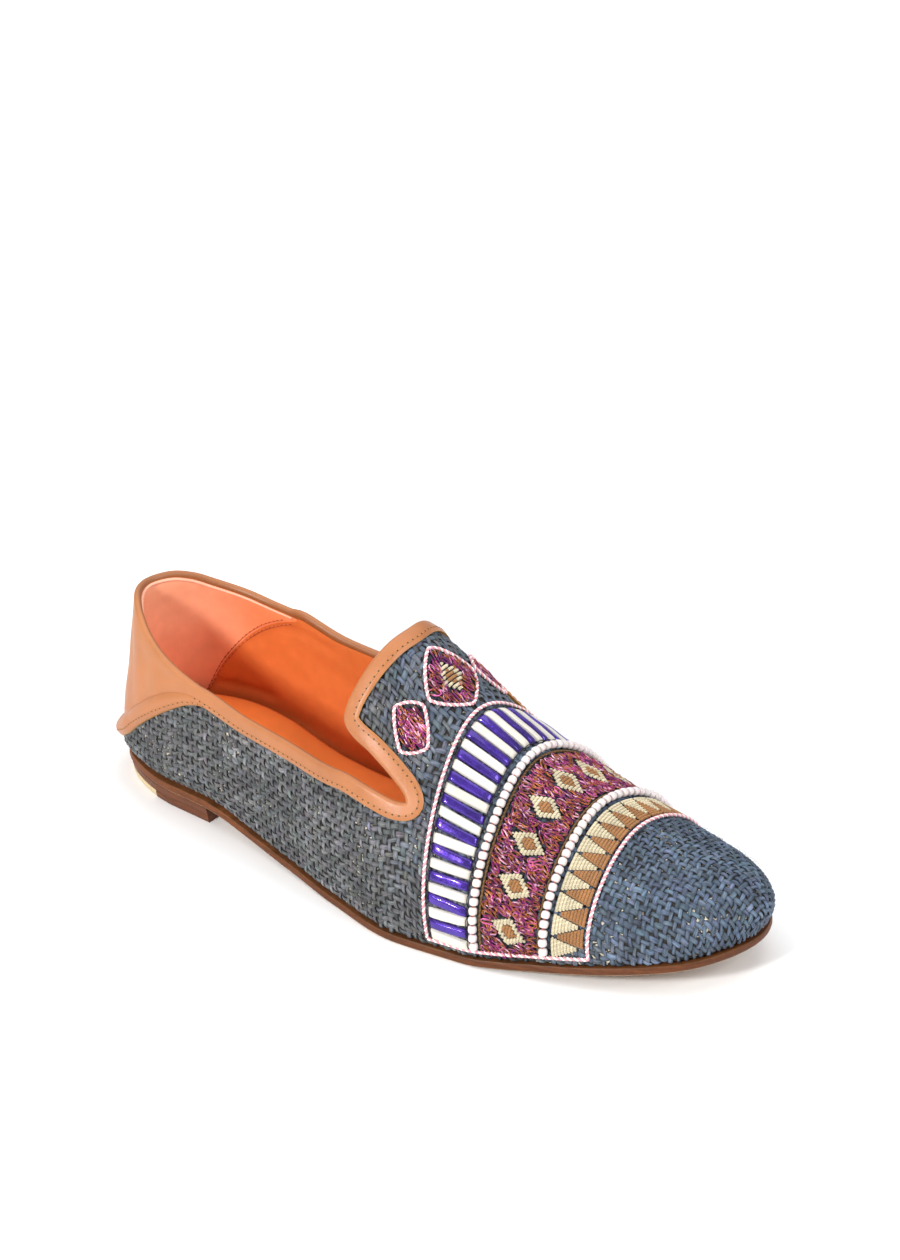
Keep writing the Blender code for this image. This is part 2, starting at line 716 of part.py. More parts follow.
def arch_sheet(band, shares, rows):
    """A band between two arches: shares from -1 to 1 run over the vamp, rows from 0 to 1 across the band."""
    back, front = band
    points, normals = [], []
    reaches = {(row, side): arch_reach(back + row * (front - back), side) for row in rows for side in (-1, 1)}
    for share in shares:
        side = -1 if share < 0 else 1
        q = np.array([share * reaches[row, side] for row in rows])
        x = np.array([float(arch_x(back + row * (front - back), one)) for row, one in zip(rows, q)])
        t = girth_places(x, q)
        points.append(last_point(x, t, side))
        normals.append(last_normal(x, t, side))
    return np.concatenate(points), np.concatenate(normals), grid_faces(len(shares), len(rows))


def build_band(name, band, thick, material):
    """A flat field of stitching, as a low raised band."""
    points, normals, faces = arch_sheet(band, np.linspace(-1, 1, 23), np.linspace(0, 1, 4))
    faces = facing_out(points, normals, [list(face) for face in faces])
    add_object(name, *thickened(points, normals, faces, GAP + thick, GAP), material)


def build_strip_lane():
    """A lane of leather strips laid side by side across the band, raised on a thin base."""
    strip_share, slope_share = 0.80, 0.05
    pitch = 1.0 / STRIPS_PER_SIDE
    shares, heights = [-1.0], [STRIP_BASE]
    for k in range(2 * STRIPS_PER_SIDE):
        start = -1.0 + k * pitch + 0.5 * (1 - strip_share) * pitch
        end = start + strip_share * pitch
        shares += [start, start + slope_share * pitch, end - slope_share * pitch, end]
        heights += [STRIP_BASE, STRIP_RAISED, STRIP_RAISED, STRIP_BASE]
    shares.append(1.0)
    heights.append(STRIP_BASE)
    rows = (0.0, 0.05, 0.95, 1.0)
    points, normals, faces = arch_sheet(STRIP_LANE, shares, rows)
    faces = facing_out(points, normals, [list(face) for face in faces])
    inside_lane = np.array([0.0, 1.0, 1.0, 0.0])
    column_heights = np.array(heights)[:, None] - STRIP_BASE
    outer = GAP + STRIP_BASE + (column_heights * inside_lane[None]).ravel()
    add_object("strip_lane", *thickened(points, normals, faces, outer, GAP), "strip_leather")


def build_bead_row(name, ridge_x):
    """A row of beads over the vamp, threaded close together: one string with a swelling for each bead."""
    ends = [side * (arch_reach(ridge_x, side) - 1.0) for side in (-1, 1)]
    fine_q = np.linspace(ends[0], ends[1], 160)
    fine_x = arch_x(ridge_x, fine_q)
    fine_t = girth_places(fine_x, fine_q)
    sides = np.where(fine_q < 0, -1, 1)
    line = np.array([last_point(*place) for place in zip(fine_x, fine_t, sides)])
    up = np.array([last_normal(*place) for place in zip(fine_x, fine_t, sides)])
    line = line + (GAP + BEAD_RADIUS) * up
    run = np.concatenate([[0.0], np.cumsum(np.linalg.norm(np.diff(line, axis=0), axis=1))])
    count = int(run[-1] // BEAD_PITCH)
    pitch = run[-1] / count
    profile = ((0.0, 0.55), (0.5, 1.0))
    stops = [(pitch * (k + f), BEAD_RADIUS * r) for k in range(count) for f, r in profile]
    stops.append((run[-1], BEAD_RADIUS * profile[0][1]))
    along = np.gradient(line, axis=0)
    corners = 5
    points = []
    for place, radius in stops:
        centre, normal, ahead = (
            np.array([np.interp(place, run, values[:, k]) for k in range(3)]) for values in (line, up, along)
        )
        across = np.cross(ahead, normal)
        across /= np.linalg.norm(across)
        normal = np.cross(across, ahead / np.linalg.norm(ahead))
        for angle in np.arange(corners) * 2 * math.pi / corners:
            points.append(centre + radius * (math.cos(angle) * normal + math.sin(angle) * across))
    faces = []
    for k in range(len(stops) - 1):
        for i in range(corners):
            j = (i + 1) % corners
            faces.append((k * corners + i, k * corners + j, (k + 1) * corners + j, (k + 1) * corners + i))
    last = (len(stops) - 1) * corners
    faces += [tuple(range(corners))[::-1], tuple(range(last, last + corners))]
    add_object(name, points, faces, "white_bead")


def build_lozenges():
    """Lozenges of stitching on the tongue, a large one on the ridge between two small ones."""
    shares = np.linspace(-1, 1, 9)
    rows = np.linspace(-1, 1, 3)
    blunt = 0.4
    for name, middle_x, middle_q, half_x, half_q in LOZENGES:
        points, normals = [], []
        for share in shares:
            x = middle_x + rows * (half_x * (1 - abs(share)) + blunt)
            q = np.full(len(rows), middle_q + share * half_q)
            side = -1 if q[0] < 0 else 1
            t = girth_places(x, q)
            points.append(last_point(x, t, side))
            normals.append(last_normal(x, t, side))
        points, normals = np.concatenate(points), np.concatenate(normals)
        faces = facing_out(points, normals, [list(face) for face in grid_faces(len(shares), len(rows))])
        add_object(name, *thickened(points, normals, faces, GAP + CHAIN_THICK, GAP), "metallic_thread")


def build_materials():
    for name, (colour, roughness, metallic) in MATERIALS.items():
        material = bpy.data.materials.new(name)
        material.use_nodes = True
        shader = material.node_tree.nodes["Principled BSDF"]
        shader.inputs["Base Color"].default_value = (*colour, 1.0)
        shader.inputs["Roughness"].default_value = roughness
        shader.inputs["Metallic"].default_value = metallic


def main():
    for obj in list(bpy.data.objects):
        bpy.data.objects.remove(obj)
    build_materials()
    shoe = bpy.data.objects.new("moccasin", None)
    bpy.context.scene.collection.objects.link(shoe)
    build_upper()
    build_binding()
    build_heel_band()
    build_heel_panel()
    build_outsole()
    build_insole()
    build_heel()
    build_strip_lane()
    build_band("chain_band", CHAIN_BAND, CHAIN_THICK, "metallic_thread")
    build_band("tooth_band", TOOTH_BAND, TOOTH_THICK, "wool_thread")
    for name, ridge_x in BEAD_ROWS:
        build_bead_row(name, ridge_x)
    build_lozenges()


main()
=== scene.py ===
"""Looks of a right slip-on moccasin: woven upper, folding back, bound collar, beaded vamp and low heel.

Sizes are in millimetres on the last, and are turned into metres in the shared frame when a mesh is written.
x runs from the back of the last to the toe, y to the inner side of the foot and z up from the floor.
A place on the last is (x, t, side): t runs from the sole's edge, 0, up to the ridge of the foot, 1,
and side is -1 on the outer (lateral) half and +1 on the inner (medial) half.
"""

import math

import bpy
import numpy as np
from mathutils import Matrix, Vector


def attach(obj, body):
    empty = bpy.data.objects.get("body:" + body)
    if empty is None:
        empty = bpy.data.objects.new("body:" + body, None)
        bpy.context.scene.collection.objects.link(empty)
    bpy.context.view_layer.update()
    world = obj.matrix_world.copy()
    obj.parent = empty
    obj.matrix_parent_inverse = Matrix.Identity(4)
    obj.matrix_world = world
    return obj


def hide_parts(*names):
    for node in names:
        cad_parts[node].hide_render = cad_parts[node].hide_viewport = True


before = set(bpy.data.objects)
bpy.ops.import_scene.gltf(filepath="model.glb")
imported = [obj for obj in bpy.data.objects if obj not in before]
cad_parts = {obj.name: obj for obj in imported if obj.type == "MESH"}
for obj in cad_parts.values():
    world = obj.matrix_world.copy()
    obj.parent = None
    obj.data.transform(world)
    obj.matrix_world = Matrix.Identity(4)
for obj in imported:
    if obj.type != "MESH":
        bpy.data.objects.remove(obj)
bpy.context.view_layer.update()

MM = 0.001
SIDES = (-1, 1)

# The last and the leather on it, as in the solids.
LAST_LENGTH = 258.0
FULL_HALF_WIDTH = 20.0
WALL = 1.8
GAP = 0.3
LEATHER = 1.0
SOLE_THICK = 3.0
SOLE_EDGE = 1.0
HEEL_SOLE_EDGE = 1.3
HEEL_BREAST_X = 52.0
HEEL_SPLIT_X = 26.0
TOP_PIECE_THICK = 2.7
BINDING_WIDTH = 4.5
HEEL_BAND_WIDTH = 7.0
HEEL_BAND_END_WIDTH = 3.0
HEEL_BAND_TAPER_X = 30.0
HEEL_BAND_CROWN = 1.8
HEEL_PANEL_TIP_X = 51.5
BINDING_START_X = 53.2
LAP = 2.6
BINDING_STEP = 0.014
BINDING_STEP_FADE = (56.0, 80.0)
BEAD_RADIUS = 1.5
BEAD_PITCH = 3.1
CENTRE_X = 126.87
CENTRE_Y = -0.4

SECTION_COLUMNS = ("x", "half_width", "middle_y", "ridge_z", "ridge_y", "lean_deg", "wall", "crown")
SECTIONS = (
    (0.0, 0.0, 0.0, 84.0, 0.0, 12.0, 0.55, 0.60),
    (12.0, 19.5, 0.6, 86.0, 0.0, 12.0, 0.55, 0.60),
    (35.0, 26.5, 0.7, 90.0, 0.0, 11.0, 0.55, 0.60),
    (65.0, 27.5, -0.7, 93.0, 0.0, 9.0, 0.55, 0.60),
    (95.0, 31.5, -3.0, 94.0, 0.0, 8.0, 0.55, 0.57),
    (120.0, 37.0, -4.4, 92.0, 0.0, 9.0, 0.53, 0.53),
    (150.0, 44.0, -3.2, 69.0, 1.0, 9.0, 0.51, 0.51),
    (175.0, 44.0, -0.4, 53.0, 2.5, 9.0, 0.52, 0.52),
    (200.0, 40.2, 1.9, 41.5, 3.5, 9.0, 0.55, 0.55),
    (225.0, 33.4, 3.6, 37.0, 3.0, 9.0, 0.57, 0.57),
    (245.0, 23.3, 5.4, 33.5, 2.0, 8.0, 0.57, 0.57),
    (LAST_LENGTH, 0.0, 8.5, 14.0, 0.0, 0.0, 0.57, 0.57),
)
SOLE_PROFILE = (
    (-5.0, 6.7),
    (50.0, 6.7),
    (75.0, 3.2),
    (100.0, 1.0),
    (122.0, 0.1),
    (146.0, 0.0),
    (174.0, 0.0),
    (187.0, 1.3),
    (200.0, 3.2),
    (215.0, 5.4),
    (235.0, 8.5),
    (250.0, 10.5),
    (262.0, 12.0),
)
HEEL_PROFILE = (
    (9.0, 4.6),
    (11.0, 1.2),
    (14.0, -1.3),
    (18.0, -0.7),
    (22.0, 1.2),
    (28.0, 2.5),
    (34.0, 3.6),
    (50.0, 6.2),
    (64.0, 6.2),
    (80.0, 3.6),
)
HEEL_REACH = 60.0
TUCK_PROFILE = (
    (0.0, -1.8),
    (2.5, -0.3),
    (6.0, 0.8),
    (11.0, 0.8),
    (20.0, 0.0),
)
TUCK_FADE = (45.0, 85.0)
TOE_PROFILE = (
    (0.0, -2.0),
    (4.0, 0.4),
    (8.0, 2.3),
    (14.0, 2.4),
    (22.0, 0.9),
    (30.0, 0.0),
)
TOE_REACH = 45.0
INSOLE_PROFILE = (
    (0.0, 9.8),
    (15.0, 9.8),
    (38.0, 8.8),
    (50.0, 7.3),
    (60.0, 5.7),
    (75.0, 4.2),
    (95.0, 3.0),
    (125.0, 2.0),
    (258.0, 2.0),
)
INSOLE_SPREAD = 2.0
TOPLINE = (
    (0.0, 0.600, 0.600),
    (4.0, 0.591, 0.593),
    (10.0, 0.555, 0.562),
    (18.0, 0.494, 0.516),
    (30.0, 0.428, 0.468),
    (42.0, 0.378, 0.432),
    (54.0, 0.347, 0.413),
    (70.0, 0.334, 0.393),
    (90.0, 0.336, 0.378),
    (110.0, 0.349, 0.373),
    (128.0, 0.378, 0.382),
    (140.0, 0.418, 0.419),
    (145.8, 0.448, 0.448),
)
SLIT_END = (148.2, 0.476)
TONGUE_SIDE = ((145.8, 0.504), (140.0, 0.512), (132.0, 0.508), (124.5, 0.503))
TONGUE_CORNER = (119.8, 0.525)
TONGUE_BACK = ((119.2, 0.580), (120.8, 0.680), (123.4, 0.835), (125.2, 1.0))
HEEL_SEAM = (
    (0.0, 0.020, 0.020),
    (5.0, 0.032, 0.033),
    (12.0, 0.082, 0.086),
    (20.0, 0.150, 0.160),
    (30.0, 0.216, 0.238),
    (40.0, 0.268, 0.304),
    (46.0, 0.292, 0.341),
    (51.5, 0.303, 0.360),
)
# The seam of the heel grip inside, where the paler back lining meets the orange one.
GRIP_SEAM = (
    (10.0, -0.05),
    (12.0, 0.030),
    (13.4, 0.090),
    (15.9, 0.148),
    (19.9, 0.207),
    (26.4, 0.273),
    (34.9, 0.328),
    (43.8, 0.367),
    (54.0, 0.400),
)

# The beadwork: bands between two arches over the vamp, given by x on the ridge.
ARCH_SLOPE = 0.17
ARCH_ROUND = 12.0
SOLE_MARGIN = 3.0
STRIP_LANE = (152.5, 168.0)
CHAIN_BAND = (173.0, 193.0)
TOOTH_BAND = (198.0, 209.0)
BEAD_ROWS = (("bead_row_back", 170.5, 172.55), ("bead_row_front", 195.5, 193.5))
BORDER_ARCHES = (151.2, 210.4)
STRIPS_PER_SIDE = 20
TEETH_PER_SIDE = 8
TOOTH_YARNS = 10
LOZENGES = (
    ("tongue_medallion", 140.5, 0.0, 8.0, 12.0),
    ("tongue_lozenge_lateral", 140.0, -24.0, 6.0, 8.0),
    ("tongue_lozenge_medial", 140.0, 24.0, 6.0, 8.0),
)
LOZENGE_BLUNT = 0.78
MEDALLION_HEART = (140.5, 0.0, 4.2, 5.6)
BAND_LOZENGE_SHARES = (-0.88, -0.66, -0.44, -0.22, 0.0, 0.22, 0.44, 0.66, 0.88)
BAND_LOZENGE_HALF = (6.2, 4.6)

# The lining: how far it is tucked in at the rim, its folded edge, and its grip round the heel.
LINING_TUCK = 0.55
LINING_TUCK_WIDTH = 1.8
LINING_EDGE_DEPTH = WALL - 0.15
LINING_EDGE_DROP = 1.1
LINING_EDGE_RADIUS = 0.6
GRIP_SHARPNESS = 60.0
GRIP_BLEND = 0.12
GRIP_WARM_X = (8.0, 40.0)
GRIP_SEWN_T = 0.011
NO_GRIP = -2.0
# Soft creases in the lining: side, line of (x, t), width and depth. t is scaled to millimetres of wall.
CREASE_T_SCALE = 120.0
LINING_CREASES = (
    (1, ((16.0, 0.099), (27.0, 0.090), (38.0, 0.083)), 1.5, 0.9),
    (1, ((31.0, 0.270), (40.0, 0.330), (48.0, 0.356), (58.0, 0.356), (68.0, 0.342)), 2.4, 0.5),
    (1, ((62.0, 0.260), (84.0, 0.225), (104.0, 0.215)), 4.0, 0.4),
    (-1, ((18.0, 0.097), (36.0, 0.085)), 1.6, 0.7),
    (-1, ((44.0, 0.210), (64.0, 0.190), (90.0, 0.200)), 4.0, 0.5),
)

# How finely things are divided.
HEEL_STATIONS = 44
TOE_STATIONS = 44
LOWER_ROWS = 36
EDGE_POINTS = 6
ROLL_ROWS = 9
SOLE_STATIONS = 130
HEEL_POINTS = 40
GIRTH_STATIONS = 320
GIRTH_SHARES = 120
SEED = 20

# The weave. Widths and turns are for strands that run round the upper, then for those along it.
WEAVE_PITCH = 2.4
WARPS = 58
STRAND_ALONG = (-0.86, -0.45, 0.0, 0.45, 0.86)
STRAND_ACROSS = (-1.0, -0.45, 0.45, 1.0)
STRAND_WIDTHS = (0.35, 0.40)
STRAND_TURNS = (10.0, -4.0)
STRAND_ROUND = 0.36
WEAVE_CROWN = 0.36
WEAVE_DIP = -0.50
BACKING_DEPTH = -0.62
WEAVE_TURN = (140.0, 165.0)
WEAVE_REFERENCE_X = 152.0
WEAVE_LINE_T = 0.12
WEAVE_RIDGE_X = 170.0
WEAVE_HEEL_X = 50.0
WEAVE_LAP_T = 0.05
TONGUE_ROOT_X = 150.0
BLUE_SLANT = 90.0
BLUE_RANGE = (150.0, 265.0)
FIBRES = 320
FIBRE_RADIUS = 0.055

# Folded and sewn leather. Folds in the back: place along it, width and depth.
FOLD_REACH = 0.9
FOLD_DEPTH = WALL / 2
FOLD_FLAP = 2.0
FOLD_TUCK = 0.4
BINDING_PAD = 0.15
BINDING_SEWN = 0.30
PANEL_FOLDS = (
    (-33.0, 5.0, 0.55),
    (-22.0, 3.5, 0.45),
    (-11.0, 3.0, 0.55),
    (9.0, 3.0, 0.50),
    (24.0, 4.5, 0.55),
)
PANEL_FOLD_LEAN = 24.0
HEEL_BAND_ROWS = 15
HEEL_BAND_SEWN_ROW = 4
HEEL_BAND_INNER = 0.05
STITCH_PITCH = 2.35
STITCH_RADIUS = 0.19
HOLE_LONG = 0.46
HOLE_WIDE = 0.30
HOLE_SIDES = 8

# Colours, linear
RAFFIA_GREY = (0.088, 0.090, 0.094)
RAFFIA_BLUE = (0.061, 0.085, 0.124)
# Painted shade: the factor that darkens the weave under the chain stitches.
PAINTED_SHADE_UNDER_STITCHES = 0.32
TAN = (0.395, 0.146, 0.051)
# Painted shade: the darker tan round the inside of a rolled edge.
TAN_ROLL_PAINTED_SHADE = (0.275, 0.100, 0.034)
TAN_CUT = (0.36, 0.17, 0.035)
# Painted shade: dark discs for the inside of the pinholes, on the tan leather and on the grip.
PINHOLE_PAINTED_SHADE = (0.07, 0.035, 0.008)
GRIP_PINHOLE_PAINTED_SHADE = (0.40, 0.085, 0.028)
GRIP_STITCH = (0.62, 0.17, 0.06)
GRIP_PALE = (0.89, 0.385, 0.225)
GRIP_WARM = (0.87, 0.275, 0.115)
LINING_ORANGE = (0.66, 0.165, 0.039)
# Painted shade: the backing's near-black stands for the shade in the gaps between strands.
BACKING_PAINTED_SHADE = (0.022, 0.019, 0.016)
BACKING_SPECK = (0.60, 0.55, 0.44)
STITCH_TAN = (0.46, 0.20, 0.065)
LINING_EDGE = (0.88, 0.43, 0.29)
SOCK = (0.92, 0.280, 0.062)
# Painted shade: the darker sock where it rounds down into the crease at the wall.
SOCK_EDGE_PAINTED_SHADE = (0.62, 0.140, 0.034)
SOLE_BROWN = (0.145, 0.043, 0.012)
SOLE_TOP = (0.140, 0.050, 0.016)
SOLE_DARK = (0.105, 0.040, 0.018)
SOLE_FADE = 0.28
SOLE_FADE_X = (50.0, 120.0)
HEEL_BROWN = (0.125, 0.036, 0.011)
HEEL_TIP_PALE = (0.58, 0.45, 0.27)
SOLE_PALE = (0.46, 0.29, 0.16)
PINK = (0.80, 0.33, 0.37)
CORD_WHITE = (0.84, 0.80, 0.78)
CREAM_YARN = (0.62, 0.54, 0.365)
RUST_YARN = (0.345, 0.150, 0.042)
METALLIC_TINTS = (
    (0.27, 0.030, 0.150),
    (0.17, 0.020, 0.120),
    (0.10, 0.014, 0.095),
    (0.42, 0.090, 0.240),
    (0.24, 0.035, 0.075),
)
METALLIC_GLINT = (0.72, 0.42, 0.56)
GOLD_TINTS = ((0.40, 0.135, 0.030), (0.30, 0.085, 0.030), (0.55, 0.230, 0.080))
PURPLE = (0.053, 0.019, 0.270)
STRIP_CREAM = (0.66, 0.62, 0.54)
BEAD_WHITE = (0.72, 0.64, 0.63)
BEAD_THREAD = (0.42, 0.10, 0.07)
BROWN_CORD = (0.115, 0.060, 0.018)
BLACK_THREAD = (0.012, 0.012, 0.014)

# Ranges of noise that are spread over a material's values
NOISE_RANGE = (0.3, 0.7)
SPECK_RANGE = (1.08, 1.16)

# Rings of the sole, top first: out from its edge, up from the ground and tint.
SOLE_RINGS = (
    (-1.0, 3.0, SOLE_TOP),
    (-0.10, 2.98, SOLE_TOP),
    (0.06, 2.75, SOLE_TOP),
    (0.16, 2.45, SOLE_BROWN),
    (0.30, 1.90, SOLE_BROWN),
    (0.32, 1.20, SOLE_BROWN),
    (0.16, 0.60, SOLE_BROWN),
    (-0.02, 0.38, SOLE_PALE),
    (-0.22, 0.12, SOLE_PALE),
    (-0.5, 0.0, SOLE_BROWN),
    (-4.0, 0.0, SOLE_PALE),
)
# Rings of the sock, top first: out from the sole's edge line, share of the thickness, up from there and tint.
SOCK_RINGS = (
    (-10.5, 1.0, 0.0, SOCK),
    (-8.0, 1.0, 0.05, SOCK),
    (-6.0, 1.0, 0.10, SOCK),
    (-4.6, 1.0, 0.0, SOCK),
    (-3.6, 1.0, -0.25, SOCK_EDGE_PAINTED_SHADE),
    (-2.9, 1.0, -0.7, SOCK_EDGE_PAINTED_SHADE),
    (-2.6, 0.9, -0.9, SOCK_EDGE_PAINTED_SHADE),
    (-2.7, 0.0, 0.0, SOCK_EDGE_PAINTED_SHADE),
)

# Stitches, cords, beads and strips. A loop's strand is its scale, radius and tints.
# A cord is its ply radius, strand radius and lay.
LOOP_ROWS = 8
LOOP_COLUMNS = 92
TONGUE_LOOP_STEPS = (2.0, 1.3)
LOOP_LENGTHS = (1.6, 2.4)
LOOP_WIDTHS = (0.50, 0.80)
LOOP_HEIGHTS = (0.75, 1.1)
LOOP_STRANDS = ((1.0, 0.26, METALLIC_TINTS), (0.62, 0.16, GOLD_TINTS))
YARN = (0.27, 0.36, 1.5)
YARN_HEIGHT = 0.66
YARN_PITCH = 1.02
BORDER_CORD = (0.30, 0.38, 2.4)
BORDER_HEIGHT = 0.72
BEAD_CORD = (0.22, 0.27, 1.6)
BEAD_CORD_HEIGHT = 0.60
CORD_END = 0.25
BEAD_PROFILE = ((-1.30, 0.5), (-1.27, 0.92), (-1.06, 1.30), (-0.55, 1.47), (0.0, BEAD_RADIUS))
BEAD_SIDES = 14
BEAD_THREAD_RADIUS = 0.42
STRIP_HALF = 0.455
STRIP_REACH = 0.485
STRIP_HEIGHT = 1.22
STRIP_SWELL = 0.22
STRIP_STITCH_ROWS = (0.01735, 0.98265)
STRIP_STITCH_REACH = 1.05
STRIP_STITCH_HEIGHT = 0.95
STRIP_STITCH_RADIUS = 0.17

# The studio. A light is its name, offset right, back and up, size, watts and colour.
CAMERA_AZIMUTH = 36.54
CAMERA_ELEVATION = 29.27
CAMERA_ROLL = 0.58
CAMERA_TARGET = (121.11, 23.24, 77.24)
CAMERA_DISTANCE = 1301.2
CAMERA_FOCAL = 109.62
CAMERA_SENSOR = 36.0
LIGHTS = (
    ("key", (-0.80, 0.90, 0.72), 0.20, 17.0, (1.0, 0.99, 0.97)),
    ("fill", (1.1, 0.75, 0.95), 0.8, 12.0, (0.98, 0.99, 1.0)),
    ("top", (0.0, -0.45, 1.6), 2.0, 18.0, (1.0, 1.0, 1.0)),
)
LIGHT_AIM = (0.0, 0.0, 0.03)
SURROUND = (0.97, 0.98, 1.0)
SURROUND_STRENGTH = 0.55
FLOOR_REACH = 3.0


# Curves and the last


def monotone(rows, column=1):
    """A smooth curve through one column of a table, which never overshoots its rows."""
    xs = np.array([row[0] for row in rows], float)
    ys = np.array([row[column] for row in rows], float)
    step = np.diff(xs)
    slope = np.diff(ys) / step
    tangent = np.concatenate([slope[:1], np.zeros(len(xs) - 2), slope[-1:]])
    for i in range(1, len(xs) - 1):
        if slope[i - 1] * slope[i] > 0:
            before = 2 * step[i] + step[i - 1]
            after = step[i] + 2 * step[i - 1]
            tangent[i] = (before + after) / (before / slope[i - 1] + after / slope[i])

    def curve(x):
        x = np.clip(np.asarray(x, float), xs[0], xs[-1])
        i = np.clip(np.searchsorted(xs, x, side="right") - 1, 0, len(xs) - 2)
        f = (x - xs[i]) / step[i]
        start = (1 + 2 * f) * (1 - f) ** 2 * ys[i] + f * (1 - f) ** 2 * step[i] * tangent[i]
        end = f**2 * (3 - 2 * f) * ys[i + 1] + f**2 * (f - 1) * step[i] * tangent[i + 1]
        return start + end

    return curve


def section(name):
    return monotone(SECTIONS, SECTION_COLUMNS.index(name))


def smooth(x, start, end):
    """From 0 before start to 1 after end."""
    f = np.clip((np.asarray(x, float) - start) / (end - start), 0.0, 1.0)
    return f**2 * (3 - 2 * f)


def unit(vectors):
    return vectors / np.maximum(np.linalg.norm(vectors, axis=-1, keepdims=True), 1e-12)


def alike(*values):
    """Numbers and arrays as arrays of one shape."""
    return np.broadcast_arrays(*(np.asarray(value, float) for value in values))


def lengths(path):
    """The length from the start at each point of a path, or of each of many paths."""
    steps = np.linalg.norm(np.diff(path, axis=-2), axis=-1)
    return np.concatenate([np.zeros((*steps.shape[:-1], 1)), np.cumsum(steps, axis=-1)], axis=-1)


SOLE_BOTTOM = monotone(SOLE_PROFILE)
HEEL_FORWARD = monotone(HEEL_PROFILE)
TOE_FORWARD = monotone(TOE_PROFILE)
TUCK = monotone(TUCK_PROFILE)
INSOLE_HEIGHT = monotone(INSOLE_PROFILE)
MIDDLE_Y = section("middle_y")
RIDGE_Y = section("ridge_y")
LEAN = section("lean_deg")
WALL_HANDLE = section("wall")
CROWN_HANDLE = section("crown")
GRIP_T = monotone(GRIP_SEAM)


def feather_z(x):
    """The height of the line where the upper meets the sole."""
    return SOLE_BOTTOM(x) + SOLE_THICK + GAP


HALF_SQUARED = monotone([(row[0], row[1] ** 2) for row in SECTIONS])
RISE_SQUARED = monotone([(row[0], max(row[3] - float(feather_z(row[0])), 0.0) ** 2) for row in SECTIONS])


def last_point(x, t, side):
    """The last's surface: each half section is one Bezier arc from the sole's edge to the ridge."""
    x, t, side = alike(x, t, side)
    half = np.sqrt(np.maximum(HALF_SQUARED(x), 0.0))
    rise = np.sqrt(np.maximum(RISE_SQUARED(x), 0.0))
    wall = WALL_HANDLE(x) * rise
    fullness = np.minimum(half / FULL_HALF_WIDTH, 1.0)
    ridge = side * RIDGE_Y(x) * fullness
    bulge = wall * np.tan(np.radians(LEAN(x))) * fullness
    across = (half, half + bulge, ridge + CROWN_HANDLE(x) * half, ridge)
    up = (0.0, wall, rise, rise)
    weights = ((1 - t) ** 3, 3 * t * (1 - t) ** 2, 3 * t**2 * (1 - t), t**3)
    above = sum(w * u for w, u in zip(weights, up))
    tuck = TUCK(above) * (1 - smooth(x, *TUCK_FADE)) * fullness
    y = MIDDLE_Y(x) + side * (sum(w * a for w, a in zip(weights, across)) + tuck)
    z = feather_z(x) + above
    heel = HEEL_FORWARD(z) * np.clip(1 - x / HEEL_REACH, 0.0, 1.0) ** 2
    toe = TOE_FORWARD(above) * np.clip((x - LAST_LENGTH) / TOE_REACH + 1, 0.0, 1.0) ** 2
    return np.stack([x + heel + toe, y, z], axis=-1)


def x_at(u):
    """Stations crowd towards both ends: u from 0 to 1 gives x from heel to toe."""
    return LAST_LENGTH * (1 - np.cos(math.pi * np.clip(u, 0, 1))) / 2


def u_at(x):
    return np.arccos(1 - 2 * np.clip(np.asarray(x, float) / LAST_LENGTH, 0, 1)) / math.pi


def last_normal(x, t, side):
    """The outward unit normal of the last."""
    x, t, side = alike(x, t, side)
    step = 1e-3
    u = np.clip(u_at(x), 0, 1 - 2 * step)
    along = last_point(x_at(u + step), t, side) - last_point(x_at(np.maximum(u - step, 0)), t, side)
    x = x_at(u)
    up = last_point(x, np.minimum(t + step, 1), side) - last_point(x, np.maximum(t - step, 0), side)
    return unit(-side[..., None] * np.cross(along, up))


def on_last(x, t, side, height):
    """Points at a height above the last, and the normals there."""
    normal = last_normal(x, t, side)
    return last_point(x, t, side) + np.asarray(height, float)[..., None] * normal, normal


# Girth: the way round a section, counted from the ridge, below 0 on the lateral side


def girth_table(side):
    """For each station: the girth from the ridge to the sole's edge, and t at equal shares of it."""
    fine = np.linspace(1, 0, 160)
    points = last_point(x_at(np.linspace(0, 1, GIRTH_STATIONS))[:, None], fine[None], side)
    run = lengths(points)
    shares = np.linspace(0, 1, GIRTH_SHARES)
    return run[:, -1], np.stack([np.interp(shares * row[-1], row, fine) for row in run])


GIRTH = {side: girth_table(side) for side in SIDES}


def station(x):
    at = np.clip(u_at(x) * (GIRTH_STATIONS - 1), 0, GIRTH_STATIONS - 1 - 1e-6)
    index = at.astype(int)
    return index, at - index


def girth_limit(x, side):
    """The girth from the ridge down to the sole's edge."""
    i, f = station(x)
    limit, _ = GIRTH[side]
    return (1 - f) * limit[i] + f * limit[i + 1]


def girth_place(x, q):
    """t at a girth q from the ridge."""
    x, q = alike(x, q)
    i, f = station(x)
    t = np.zeros(x.shape)
    for side in SIDES:
        _, places = GIRTH[side]
        reach = np.maximum(girth_limit(x, side), 1e-6)
        share = np.clip(np.abs(q) / reach, 0, 1) * (GIRTH_SHARES - 1)
        share = np.minimum(share, GIRTH_SHARES - 1 - 1e-6)
        j = share.astype(int)
        g = share - j
        before = (1 - g) * places[i, j] + g * places[i, j + 1]
        after = (1 - g) * places[i + 1, j] + g * places[i + 1, j + 1]
        t = np.where((q < 0) == (side < 0), (1 - f) * before + f * after, t)
    return t


def on_vamp(x, q, height):
    """Points at a height above the vamp, and the normals there."""
    x, q, height = alike(x, q, height)
    return on_last(x, girth_place(x, q), np.where(q < 0, -1.0, 1.0), height)


